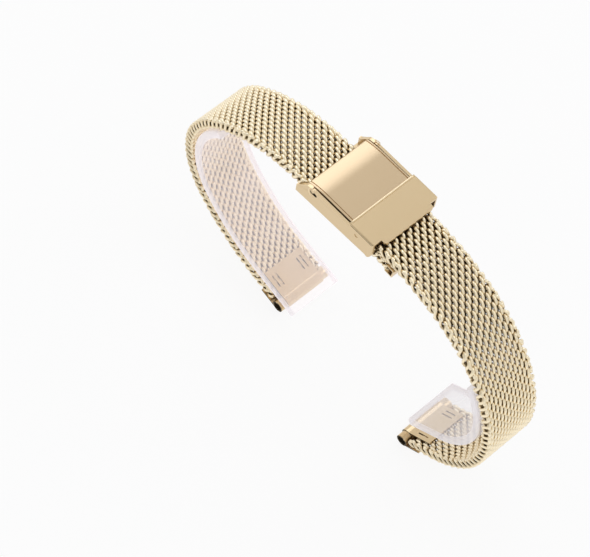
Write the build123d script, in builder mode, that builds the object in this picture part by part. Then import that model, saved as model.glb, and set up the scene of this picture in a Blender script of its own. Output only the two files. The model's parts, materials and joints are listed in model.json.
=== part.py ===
"""Milanese mesh band: two woven straps, a sliding lever clasp, two lug ends and two clear strips."""
import os
from math import asin, atan2, cos, degrees, radians, sin

from build123d import *

os.makedirs("parts", exist_ok=True)

# Woven strap, with one rib for each row of coils
strap_width = 10.0
strap_thickness = 1.75
rib_depth = 0.14
long_row_pitch = 0.69
short_row_pitch = 0.80

# Knuckle between two lengths of strap: a wire bead held in the loop of the next coil
bead_radius = 0.42
bead_clearance = 0.04
knuckle_wall = 0.34
knuckle_gap = 0.13
neck_width = 0.36
throat_margin = 3.0
close_limit = 3.0
back_bend = 4.0

# Centreline of the long strap, from the clasp round to its lug end: radius, turn, lengths of strap
long_entry = 0.6
long_shoulder_radius = 25.7
long_shoulder_turn = 42.0
long_shoulder_count = 2
long_bend_radius = 14.3
long_bend_turn = 92.0
long_bend_count = 4
long_leg_radius = 30.0
long_leg_turn = 29.0
long_leg_count = 2
long_arcs = [
    (long_shoulder_radius, long_shoulder_turn, long_shoulder_count),
    (long_bend_radius, long_bend_turn, long_bend_count),
    (long_leg_radius, long_leg_turn, long_leg_count),
]

# Centreline of the short strap, from the clasp round to its lug end
short_shoulder_radius = 32.0
short_shoulder_turn = 24.0
short_shoulder_count = 2
short_side_radius = 22.4
short_side_turn = 61.5
short_side_count = 3
short_bend_radius = 17.6
short_bend_turn = 62.0
short_bend_count = 3
short_arcs = [
    (short_shoulder_radius, short_shoulder_turn, short_shoulder_count),
    (short_side_radius, short_side_turn, short_side_count),
    (short_bend_radius, short_bend_turn, short_bend_count),
]

# Straight strap that each lug end is crimped on, and the sheet sleeve of the lug end
lug_strap_length = 5.2
lug_tube_radius = 1.0
lug_bore_radius = 0.80
lug_seat_gap = 0.02
lug_tongue_thickness = 0.18
lug_tongue_width = 7.4
lug_tongue_length = 4.3
lug_tongue_proud = 0.10
lug_back_length = 2.6
lug_back_thickness = 0.20
lug_slit_length = 2.2
lug_slit_width = 0.22
lug_slit_inset = 0.8
lug_slit_spacing = 0.75

# Clasp box: floor, two walls and the bridge that closes its right end
clasp_length = 15.4
clasp_width = 12.7
clasp_wall = 0.45
clasp_floor = 0.40
clasp_corner_radius = 1.4
clasp_fold_radius = 0.25
floor_clearance = 0.06
strap_side_play = 0.70
entry_wall_height = 1.3
lobe_foot_height = 2.2
bridge_length = 4.9
bridge_thickness = 0.40
bridge_clearance = 0.12
wall_top_drop = 0.30
lobe_radius = 1.1
lobe_offset = 0.4

# Locking lever over the long strap, hinged on a cross pin
lever_pin_radius = 0.30
lever_pin_offset = 2.95
lever_pin_clearance = 0.03
lever_roll_radius = 0.93
lever_cam_clearance = 0.05
lever_plate_thickness = 0.40
lever_side_gap = 0.16
lever_end_gap = 0.14
lever_skirt_thickness = 0.35
lever_skirt_clearance = 0.30
pin_slot_length = 0.70
pin_recess = 0.05

# Hook of the short strap on a catch bar under the bridge
catch_bar_radius = 0.30
catch_bar_inset = 3.3
catch_bar_clearance = 0.02
hook_clearance = 0.05
hook_wall = 0.26
hook_plate_thickness = 0.34
hook_mouth = 110.0
hook_width = 9.0
hook_strap_gap = 0.40
hook_plate_grip = 2.4
hook_seat_gap = 0.02
strap_stack_clearance = 0.12

# Tail of the long strap under the short strap, with its end cap
tail_exit = 0.5
tail_turn = 4.0
tail_radius = 27.0
tail_droop = 2.5
tail_swing = 10.0
tail_cap_length = 1.5
tail_cap_wall = 0.20
tail_cap_gap = 0.02

# Clear strips that line the inside of both straps
strip_thickness = 1.4
strip_width = 9.6
strip_gap = 0.40
strip_joint_gap = 0.18
long_strip_lip = 1.6
short_strip_lip = 4.6
short_strip_bend_radius = 12.7
short_strip_bend_turn = 76.0
short_strip_start_share = 0.55
short_strip_leave_share = 0.2

cut_overrun = 1.0

half_strap = strap_thickness / 2
knuckle_bore = bead_radius + bead_clearance
knuckle_radius = knuckle_bore + knuckle_wall
knuckle_relief = knuckle_radius + knuckle_gap


def polar(angle, length):
    """Vector of the given length at an angle in degrees from +X towards +Z."""
    return (length * cos(radians(angle)), length * sin(radians(angle)))


def shifted(point, angle, length):
    """Point moved by a length in the direction of an angle."""
    step = polar(angle, length)
    return (point[0] + step[0], point[1] + step[1])


class Station:
    """A place on a strap's centreline: its point, its heading away from the clasp, and its side.

    The side is +1 on the short strap, which turns clockwise, and -1 on the long strap.
    """

    def __init__(self, point, heading, side):
        self.point = point
        self.heading = heading
        self.side = side

    def outward(self):
        """Angle of the normal that points out of the loop."""
        return self.heading + 90 * self.side

    def offset(self, height):
        """Point at a height above the centreline, towards the outside of the loop."""
        return shifted(self.point, self.outward(), height)

    def ahead(self, length):
        """Station further on along a straight."""
        return Station(shifted(self.point, self.heading, length), self.heading, self.side)

    def along(self, radius, turn):
        """Station further on along an arc that curls towards the inside of the loop."""
        centre = shifted(self.point, self.outward() + 180, radius)
        heading = self.heading - turn * self.side
        return Station(shifted(centre, heading + 90 * self.side, radius), heading, self.side)


class Run:
    """A length of strap between two knuckles: an arc, or a straight where its turn is zero."""

    def __init__(self, start, radius, turn, length, pitch):
        self.start = start
        self.radius = radius
        self.turn = turn
        self.length = radians(turn) * radius if turn else length
        self.rows = max(2, round(self.length / pitch))
        self.end = self.at(1.0)

    def at(self, share):
        """Station at a share of the run's length."""
        if self.turn:
            return self.start.along(self.radius, self.turn * share)
        return self.start.ahead(self.length * share)


def runs_of(start, arcs, pitch):
    """Runs of strap that follow the arcs of one strap, in order from the clasp."""
    runs = []
    station = start
    for radius, turn, count in arcs:
        for _ in range(count):
            runs.append(Run(station, radius, turn / count, None, pitch))
            station = runs[-1].end
    return runs


# Heights above the inner face of the long strap where it lies in the clasp
bridge_underside = strap_thickness + strap_stack_clearance + strap_thickness + bridge_clearance
bridge_top = bridge_underside + bridge_thickness
floor_top = -floor_clearance
floor_bottom = floor_top - clasp_floor
lever_pin_height = strap_thickness + lever_cam_clearance + lever_roll_radius
lever_top = lever_pin_height + lever_roll_radius
wall_top = bridge_underside - wall_top_drop
bridge_start = clasp_length - bridge_length
catch_bar_height = strap_thickness + (bridge_underside - strap_thickness) / 2
hook_radius = catch_bar_radius + hook_clearance + hook_wall
hook_plate_middle = catch_bar_height - hook_radius + hook_plate_thickness / 2
short_inner_height = strap_thickness + strap_stack_clearance

# Both straps before the band is stood on its feet: clasp level, its left tip at the origin
first_long = Station((-long_entry, half_strap), 180, -1)
first_short = Station((clasp_length + hook_strap_gap, short_inner_height + half_strap), 0, 1)
trial_long = runs_of(first_long, long_arcs, long_row_pitch)
trial_short = runs_of(first_short, short_arcs, short_row_pitch)

# The band stands on the tubes of its two lug ends
tube_reach = lug_strap_length + lug_seat_gap + lug_tube_radius
left_foot = trial_long[-1].end.ahead(tube_reach).point
right_foot = trial_short[-1].end.ahead(tube_reach).point
clasp_tilt = -degrees(atan2(right_foot[1] - left_foot[1], right_foot[0] - left_foot[0]))


def turned(point):
    """Point of the level clasp's frame, turned by the clasp's tilt about its left tip."""
    return shifted(polar(clasp_tilt, point[0]), clasp_tilt + 90, point[1])


# Its middle is halfway between the round bends of the two straps
right_arc = trial_short[-short_bend_count].start
right_centre = turned(shifted(right_arc.point, right_arc.outward() + 180, short_bend_radius))
left_arc = trial_long[long_shoulder_count].start
left_centre = turned(shifted(left_arc.point, left_arc.outward() + 180, long_bend_radius))
right_reach = right_centre[0] + short_bend_radius + half_strap
left_reach = left_centre[0] - long_bend_radius - half_strap
origin_x = -(left_reach + right_reach) / 2
origin_z = lug_tube_radius - turned(right_foot)[1]


def placed(along, height):
    """Point of the standing band from a distance along the clasp and a height above its floor strap."""
    point = turned((along, height))
    return (point[0] + origin_x, point[1] + origin_z)


strap_plane = Plane.XZ.offset(strap_side_play)
clasp_origin = placed(0, 0)
clasp_plane = Plane(
    origin=(clasp_origin[0], 0, clasp_origin[1]),
    x_dir=(cos(radians(clasp_tilt)), 0, sin(radians(clasp_tilt))),
    z_dir=(0, -1, 0),
)
clasp_strap_plane = clasp_plane.offset(strap_side_play)
clasp_line = Axis(clasp_plane.origin, clasp_plane.x_dir)

long_start = Station(placed(-long_entry, half_strap), 180 + clasp_tilt, -1)
short_start = Station(
    placed(clasp_length + hook_strap_gap, short_inner_height + half_strap), clasp_tilt, 1
)
long_runs = runs_of(long_start, long_arcs, long_row_pitch)
short_runs = runs_of(short_start, short_arcs, short_row_pitch)
long_end_run = Run(long_runs[-1].end, 0, 0, lug_strap_length, long_row_pitch)
short_end_run = Run(short_runs[-1].end, 0, 0, lug_strap_length, short_row_pitch)


def open_limit(parent, child):
    """Degrees that the knuckle between two runs opens: until the runs lie flat, and a little back."""
    return (parent.turn + child.turn) / 2 + back_bend


def ribs(run):
    """Draw a run's side outline, with one rib for each row of coils."""
    middle_share = 0.5
    valley = half_strap - rib_depth
    for side in (1, -1):
        for row in range(run.rows):
            ThreePointArc(
                run.at(row / run.rows).offset(side * valley),
                run.at((row + middle_share) / run.rows).offset(side * half_strap),
                run.at((row + 1) / run.rows).offset(side * valley),
            )
    for share in (0.0, 1.0):
        edge = run.at(share)
        Line(edge.offset(valley), edge.offset(-valley))


def add_bead(station):
    """Cut back a run's first end and give it the bead and neck that its parent holds."""
    neck_length = knuckle_relief + neck_width / 2
    with Locations(station.point):
        Circle(knuckle_relief, mode=Mode.SUBTRACT)
        Circle(bead_radius)
    with Locations(station.ahead(neck_length / 2).point):
        Rectangle(neck_length, neck_width, rotation=station.heading)


def add_socket(station, inward, outward):
    """Give a run's far end the open loop that holds the next bead, which swings by two limits."""
    neck_angle = degrees(asin(neck_width / 2 / bead_radius)) + throat_margin
    reach = knuckle_radius * 2
    low = station.heading - station.side * (neck_angle + inward)
    high = station.heading + station.side * (neck_angle + outward)
    with Locations(station.point):
        Circle(knuckle_radius)
        Circle(knuckle_bore, mode=Mode.SUBTRACT)
    Polygon(
        station.point,
        shifted(station.point, low, reach),
        shifted(station.point, (low + high) / 2, reach),
        shifted(station.point, high, reach),
        align=None,
        mode=Mode.SUBTRACT,
    )


def bar(station, length, low, high, mode=Mode.ADD):
    """Draw a straight bar that starts at a station, between two heights over the centreline."""
    middle = station.ahead(length / 2)
    with Locations(middle.offset((low + high) / 2)):
        Rectangle(length, high - low, rotation=station.heading, mode=mode)


def band_outline(pieces, low, high):
    """Draw the closed outline of a strip that follows a list of runs, between two heights."""
    middle_share = 0.5
    for height in (low, high):
        for run in pieces:
            ends = [run.at(share).offset(height) for share in (0.0, middle_share, 1.0)]
            if run.turn:
                ThreePointArc(*ends)
            else:
                Line(ends[0], ends[-1])
    for edge in (pieces[0].start, pieces[-1].end):
        Line(edge.offset(low), edge.offset(high))


def finish(part, label):
    """Label a finished piece and write its file."""
    part.label = label
    export_step(part, f"parts/{label}.step")


# Lengths of woven strap between the clasp and the lug ends
for name, runs, end_run in (
    ("long_strap", long_runs, long_end_run),
    ("short_strap", short_runs, short_end_run),
):
    for index, run in enumerate(runs):
        after = runs[index + 1] if index + 1 < len(runs) else end_run
        with BuildPart() as strap_run:
            with BuildSketch(strap_plane):
                with BuildLine():
                    ribs(run)
                make_face()
                if run is not short_runs[0]:
                    add_bead(run.start)
                add_socket(run.end, close_limit, open_limit(run, after))
            extrude(amount=strap_width / 2, both=True)
            if run is short_runs[0]:
                hook_pocket = hook_strap_gap + hook_plate_grip + hook_seat_gap
                with BuildSketch(clasp_strap_plane):
                    with Locations((clasp_length + hook_pocket / 2, hook_plate_middle)):
                        Rectangle(hook_pocket, hook_plate_thickness + hook_seat_gap * 2)
                extrude(amount=hook_width / 2 + hook_seat_gap, both=True, mode=Mode.SUBTRACT)
        finish(strap_run.part, f"{name}_{index + 1:02d}")

# Strap in each lug end, with the seat of the sleeve's tongue and back plate
for name, run in (("long_lug_strap", long_end_run), ("short_lug_strap", short_end_run)):
    tongue_start = run.at(1 - lug_tongue_length / run.length)
    back_start = run.at(1 - lug_back_length / run.length)
    tongue_depth = lug_tongue_thickness - lug_tongue_proud + lug_seat_gap
    with BuildPart() as lug_strap:
        with BuildSketch(strap_plane):
            with BuildLine():
                ribs(run)
            make_face()
            add_bead(run.start)
            bar(
                back_start,
                lug_back_length + cut_overrun,
                half_strap - lug_back_thickness - lug_seat_gap,
                half_strap + cut_overrun,
                Mode.SUBTRACT,
            )
        extrude(amount=strap_width / 2, both=True)
        with BuildSketch(strap_plane):
            bar(
                tongue_start.ahead(-lug_seat_gap),
                lug_tongue_length + cut_overrun,
                -half_strap - cut_overrun,
                tongue_depth - half_strap,
            )
            with Locations(run.end.ahead(lug_seat_gap + lug_tube_radius).point):
                Circle(lug_tube_radius + lug_tongue_thickness + lug_seat_gap)
        extrude(amount=lug_tongue_width / 2 + lug_seat_gap, both=True, mode=Mode.SUBTRACT)
    finish(lug_strap.part, name)

# Lug end: a tube for the bar of the case, a tongue crimped on the strap and a plate behind it
for name, run in (("long_lug_sleeve", long_end_run), ("short_lug_sleeve", short_end_run)):
    tube = run.end.ahead(lug_seat_gap + lug_tube_radius)
    tongue_start = run.at(1 - lug_tongue_length / run.length)
    back_start = run.at(1 - lug_back_length / run.length)
    tongue_radius = lug_tube_radius + lug_tongue_thickness
    tongue_low = -half_strap - lug_tongue_proud
    with BuildPart() as sleeve:
        with BuildSketch(strap_plane):
            with Locations(tube.point):
                Circle(lug_tube_radius)
            bar(
                back_start,
                lug_back_length + lug_seat_gap + lug_tube_radius,
                half_strap - lug_back_thickness,
                half_strap,
            )
        extrude(amount=strap_width / 2, both=True)
        with BuildSketch(strap_plane):
            with Locations(tube.point):
                Circle(tongue_radius)
            bar(tube.ahead(-tongue_radius), tongue_radius * 2, 0, tongue_radius, Mode.SUBTRACT)
            bar(
                tongue_start,
                lug_tongue_length + lug_seat_gap + lug_tube_radius,
                tongue_low,
                tongue_low + lug_tongue_thickness,
            )
        extrude(amount=lug_tongue_width / 2, both=True)
        with BuildSketch(strap_plane):
            with Locations(tube.point):
                Circle(lug_bore_radius)
        extrude(amount=strap_width / 2 + cut_overrun, both=True, mode=Mode.SUBTRACT)
        slit_middle = tongue_start.ahead(lug_tongue_length / 2)
        slit_plane = Plane(
            origin=(slit_middle.point[0], -strap_side_play, slit_middle.point[1]),
            x_dir=(cos(radians(run.start.heading)), 0, sin(radians(run.start.heading))),
            z_dir=(cos(radians(run.start.outward() + 180)), 0, sin(radians(run.start.outward() + 180))),
        )
        slit_places = [
            (0, side * (lug_tongue_width / 2 - lug_slit_inset - step * lug_slit_spacing))
            for side in (1, -1)
            for step in (0, 1)
        ]
        with BuildSketch(slit_plane.offset(half_strap + lug_tongue_proud)):
            with Locations(*slit_places):
                SlotOverall(lug_slit_length, lug_slit_width)
        extrude(amount=-lug_tongue_thickness, mode=Mode.SUBTRACT)
    finish(sleeve.part, name)

# Straight strap that slides through the clasp under the lever
clasp_run_start = Station(placed(-long_entry, half_strap), clasp_tilt, 1)
clasp_run = Run(clasp_run_start, 0, 0, long_entry + clasp_length + tail_exit, long_row_pitch)
long_mouth = Station(clasp_run_start.point, clasp_tilt + 180, -1)
with BuildPart() as clasp_strap:
    with BuildSketch(strap_plane):
        with BuildLine():
            ribs(clasp_run)
        make_face()
        add_socket(long_mouth, close_limit, long_runs[0].turn / 2 + back_bend)
        add_socket(clasp_run.end, tail_swing, throat_margin)
    extrude(amount=strap_width / 2, both=True)
finish(clasp_strap.part, "long_strap_in_clasp")

# Tail of the long strap under the short strap, and the folded cap on its end
tail_start = Station(clasp_run.end.point, clasp_tilt - tail_droop, 1)
tail_run = Run(tail_start, tail_radius, tail_turn, None, long_row_pitch)
cap_run = Run(tail_run.end, 0, 0, tail_cap_length, long_row_pitch)
cap_core = half_strap - tail_cap_wall - tail_cap_gap
with BuildPart() as tail:
    with BuildSketch(strap_plane):
        with BuildLine():
            ribs(tail_run)
        make_face()
        add_bead(tail_run.start)
        bar(cap_run.start, tail_cap_length - tail_cap_wall - tail_cap_gap, -cap_core, cap_core)
    extrude(amount=strap_width / 2, both=True)
finish(tail.part, "long_strap_tail")

with BuildPart() as tail_cap:
    with BuildSketch(strap_plane):
        bar(cap_run.start.ahead(tail_cap_gap), tail_cap_length - tail_cap_gap, -half_strap, half_strap)
        bar(
            cap_run.start.ahead(-cut_overrun),
            tail_cap_length - tail_cap_wall + cut_overrun,
            tail_cap_wall - half_strap,
            half_strap - tail_cap_wall,
            Mode.SUBTRACT,
        )
    extrude(amount=strap_width / 2, both=True)
    fillet(tail_cap.edges().filter_by(Axis.Y).group_by(Axis.X)[-1], tail_cap_wall / 2)
finish(tail_cap.part, "tail_cap")

# Clasp box: one folded sheet with a floor, two walls and the bridge over their right end
with BuildPart() as clasp_box:
    with BuildSketch(clasp_plane):
        with BuildLine():
            Polyline(
                (0, floor_bottom),
                (clasp_length, floor_bottom),
                (clasp_length, bridge_top),
                (bridge_start, bridge_top),
                (bridge_start, wall_top),
                (lever_pin_offset + lobe_offset, wall_top),
                (lever_pin_offset + lobe_offset - lobe_radius, lobe_foot_height),
                (0, entry_wall_height),
                close=True,
            )
        outline = make_face()
        fillet(outline.vertices().group_by(Axis.X)[-1].sort_by(Axis.Z)[0], clasp_corner_radius)
        fillet(outline.vertices().group_by(Axis.X)[0].sort_by(Axis.Z)[0], clasp_corner_radius / 2)
        with Locations((lever_pin_offset + lobe_offset, wall_top - lobe_radius)):
            Circle(lobe_radius)
    extrude(amount=clasp_width / 2, both=True)
    with BuildSketch(clasp_plane):
        with BuildLine():
            Polyline(
                (-cut_overrun, floor_top),
                (clasp_length + cut_overrun, floor_top),
                (clasp_length + cut_overrun, bridge_underside),
                (bridge_start, bridge_underside),
                (bridge_start, bridge_top + cut_overrun),
                (-cut_overrun, bridge_top + cut_overrun),
                close=True,
            )
        make_face()
    extrude(amount=clasp_width / 2 - clasp_wall, both=True, mode=Mode.SUBTRACT)
    with BuildSketch(clasp_plane):
        slot_length = pin_slot_length + (lever_pin_radius + lever_pin_clearance) * 2
        with Locations((lever_pin_offset + pin_slot_length / 2, lever_pin_height)):
            SlotOverall(slot_length, (lever_pin_radius + lever_pin_clearance) * 2)
        with Locations((clasp_length - catch_bar_inset, catch_bar_height)):
            Circle(catch_bar_radius + catch_bar_clearance)
    extrude(amount=clasp_width / 2 + cut_overrun, both=True, mode=Mode.SUBTRACT)
    for side in (0, -1):
        long_edges = clasp_box.edges().filter_by(clasp_line).group_by(Axis.Y)[side].sort_by(Axis.Z)
        fillet([long_edges[0], long_edges[-1]], clasp_fold_radius)
finish(clasp_box.part, "clasp_box")

# Locking lever: a cover plate rolled round its pin, with two skirts that stiffen it
lever_end = bridge_start - lever_end_gap
lever_half_width = clasp_width / 2 - clasp_wall - lever_side_gap
skirt_bottom = strap_thickness + lever_skirt_clearance
with BuildPart() as lever:
    with BuildSketch(clasp_plane):
        with Locations((lever_pin_offset, lever_pin_height)):
            Circle(lever_roll_radius)
        with Locations(((lever_pin_offset + lever_end) / 2, lever_top - lever_plate_thickness / 2)):
            Rectangle(lever_end - lever_pin_offset, lever_plate_thickness)
    extrude(amount=lever_half_width, both=True)
    with BuildSketch(clasp_plane) as skirt_face:
        with Locations(((lever_pin_offset + lever_end) / 2, (skirt_bottom + lever_top) / 2)):
            Rectangle(lever_end - lever_pin_offset, lever_top - skirt_bottom)
        fillet(skirt_face.vertices().group_by(Axis.X)[-1].sort_by(Axis.Z)[0], lever_skirt_thickness)
    extrude(amount=lever_half_width, both=True)
    with BuildSketch(clasp_plane):
        with Locations(((lever_pin_offset + lever_end) / 2, (skirt_bottom + lever_top) / 2)):
            Rectangle(lever_end - lever_pin_offset, lever_top - skirt_bottom)
        with Locations((lever_pin_offset, lever_pin_height)):
            Circle(lever_roll_radius, mode=Mode.SUBTRACT)
        with Locations(((lever_pin_offset + lever_end) / 2, lever_top - lever_plate_thickness / 2)):
            Rectangle(lever_end - lever_pin_offset, lever_plate_thickness, mode=Mode.SUBTRACT)
    extrude(amount=lever_half_width - lever_skirt_thickness, both=True, mode=Mode.SUBTRACT)
    with BuildSketch(clasp_plane):
        with Locations((lever_pin_offset, lever_pin_height)):
            Circle(lever_pin_radius + lever_pin_clearance)
    extrude(amount=clasp_width, both=True, mode=Mode.SUBTRACT)
finish(lever.part, "lock_lever")

# Pin of the lever, held in both walls, and the fixed bar under the bridge
with BuildPart() as lever_pin:
    with BuildSketch(clasp_plane):
        with Locations((lever_pin_offset, lever_pin_height)):
            Circle(lever_pin_radius)
    extrude(amount=clasp_width / 2 - pin_recess, both=True)
finish(lever_pin.part, "lever_pin")

with BuildPart() as catch_bar:
    with BuildSketch(clasp_plane):
        with Locations((clasp_length - catch_bar_inset, catch_bar_height)):
            Circle(catch_bar_radius)
    extrude(amount=clasp_width / 2 - pin_recess, both=True)
finish(catch_bar.part, "catch_bar")

# Hook of the short strap: a loop open on one side round the catch bar, and the plate in the strap
hook_reach = catch_bar_inset + hook_strap_gap + hook_plate_grip
with BuildPart() as hook:
    with BuildSketch(clasp_strap_plane):
        with Locations((clasp_length - catch_bar_inset, catch_bar_height)):
            Circle(hook_radius)
        with Locations((clasp_length - catch_bar_inset + hook_reach / 2, hook_plate_middle)):
            Rectangle(hook_reach, hook_plate_thickness)
        with Locations((clasp_length - catch_bar_inset, catch_bar_height)):
            Circle(hook_radius - hook_wall, mode=Mode.SUBTRACT)
        mouth_centre = (clasp_length - catch_bar_inset, catch_bar_height)
        mouth_low = 180 - hook_mouth / 2
        Polygon(
            mouth_centre,
            shifted(mouth_centre, mouth_low, hook_radius * 2),
            shifted(mouth_centre, mouth_low + hook_mouth / 2, hook_radius * 2),
            shifted(mouth_centre, mouth_low + hook_mouth, hook_radius * 2),
            align=None,
            mode=Mode.SUBTRACT,
        )
    extrude(amount=hook_width / 2, both=True)
finish(hook.part, "short_strap_hook")


def strip_piece(label, pieces, low, high):
    """Build one length of clear strip that follows its runs, between two heights, and write it."""
    with BuildPart() as piece:
        with BuildSketch(strap_plane):
            with BuildLine():
                band_outline(pieces, low, high)
            make_face()
        extrude(amount=strip_width / 2, both=True)
    finish(piece.part, label)


def shortened(run, first_gap, last_gap):
    """Run with a little taken off each end, so that neighbouring lengths of strip don't touch."""
    start = run.at(first_gap / run.length)
    length = run.length - first_gap - last_gap
    turn = degrees(length / run.radius) if run.turn else 0
    return Run(start, run.radius, turn, length, length)


# Clear strips: one length on each run of strap, so that they flex with it
strip_low = -half_strap - strip_gap - strip_thickness
strip_high = -half_strap - strip_gap
half_gap = strip_joint_gap / 2
long_strip_runs = long_runs[long_shoulder_count:]
for index, run in enumerate(long_strip_runs):
    first_gap = 0 if index == 0 else half_gap
    strip_piece(f"long_strip_{index + 1:02d}", [shortened(run, first_gap, half_gap)], strip_low, strip_high)
lip_length = lug_seat_gap + lug_tube_radius * 2 + long_strip_lip
long_strip_end = Run(long_end_run.at(half_gap / long_end_run.length), 0, 0, lug_strap_length + lip_length, 1)
strip_piece(f"long_strip_{len(long_strip_runs) + 1:02d}", [long_strip_end], strip_low, strip_high)

short_strip_run = short_runs[short_shoulder_count + 1]
short_first_gap = short_strip_run.length * short_strip_start_share
strip_piece("short_strip_01", [shortened(short_strip_run, short_first_gap, half_gap)], strip_low, strip_high)
leave_run = short_runs[short_shoulder_count + 2]
leave_turn = leave_run.turn * short_strip_leave_share
hug = Run(leave_run.at(half_gap / leave_run.length), leave_run.radius, leave_turn, None, 1)
strip_middle = (strip_low + strip_high) / 2
bend_from = Station(hug.end.offset(strip_middle), hug.end.heading, 1)
flap_bend = Run(bend_from, short_strip_bend_radius, short_strip_bend_turn, None, 1)
flap_lip = Run(flap_bend.end, 0, 0, short_strip_lip, 1)
with BuildPart() as flap:
    with BuildSketch(strap_plane):
        with BuildLine():
            band_outline([hug], strip_low, strip_high)
        make_face()
        with BuildLine():
            band_outline([flap_bend, flap_lip], -strip_thickness / 2, strip_thickness / 2)
        make_face()
    extrude(amount=strip_width / 2, both=True)
finish(flap.part, "short_strip_02")
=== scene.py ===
"""Milanese mesh band: woven straps, sliding lever clasp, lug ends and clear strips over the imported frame."""

import json
import logging
from dataclasses import dataclass, field
from enum import Enum
from math import atan2, cos, hypot, pi, radians, sin

import bmesh
import bpy
import numpy as np
from mathutils import Matrix, Vector


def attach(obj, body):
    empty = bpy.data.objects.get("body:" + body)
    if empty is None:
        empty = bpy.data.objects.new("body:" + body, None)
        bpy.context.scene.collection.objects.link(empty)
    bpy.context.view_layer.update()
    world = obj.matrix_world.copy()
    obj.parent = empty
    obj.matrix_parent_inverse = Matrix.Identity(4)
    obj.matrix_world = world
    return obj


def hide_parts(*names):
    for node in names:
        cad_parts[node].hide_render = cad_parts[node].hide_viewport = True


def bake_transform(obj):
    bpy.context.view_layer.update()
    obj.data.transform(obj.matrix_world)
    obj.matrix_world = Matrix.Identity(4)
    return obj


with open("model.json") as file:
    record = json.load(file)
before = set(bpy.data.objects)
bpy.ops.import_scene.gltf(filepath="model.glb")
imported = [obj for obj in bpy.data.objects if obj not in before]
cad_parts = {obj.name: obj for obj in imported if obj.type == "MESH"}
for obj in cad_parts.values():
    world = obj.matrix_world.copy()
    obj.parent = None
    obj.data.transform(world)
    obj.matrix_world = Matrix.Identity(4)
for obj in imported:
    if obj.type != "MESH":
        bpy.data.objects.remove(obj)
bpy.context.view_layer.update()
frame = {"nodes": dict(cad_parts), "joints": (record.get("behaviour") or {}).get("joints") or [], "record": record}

MM = 0.001
NEAR = 0.01 * MM  # places this close count as being on the same line
MERGED = 0.002 * MM  # corners this close are made one
SHARP = radians(35)  # edges that turn by more than this are rounded
FLAT = radians(0.5)  # faces that turn by less than this are joined
STRAIGHT = 1e-6  # turns and bends under this count as none
SAME_WAY = 0.99  # product of two directions over which they count as the same
CROSSWAYS = 0.1  # product of two directions under which they count as crossing
LAST_NUMBER = 8  # number of each strap's last length before its lug end
ACROSS = np.array([0.0, 1.0, 0.0])  # direction across the band
EVENLY = (1.0, 1.0, 1.0)
PAPER_WHITE = (1.0, 1.0, 1.0, 1.0)
JOINTS = {joint["name"]: joint for joint in frame["joints"]}
MOUNTS = {mount["name"]: mount for mount in frame["record"]["mounts"]}
Colour = tuple[float, float, float, float]
Shape = tuple[np.ndarray, list[np.ndarray]]
log = logging.getLogger("band")


class Side(Enum):
    """Which strap a line belongs to: its value is +1 where the loop turns clockwise, -1 where it doesn't."""

    SHORT = 1
    LONG = -1


class Slot(Enum):
    """Finish that a piece takes from the record."""

    WIRE = "steel_mesh"
    SHEET = "polished_steel"
    CLEAR = "clear_strip"


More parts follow.
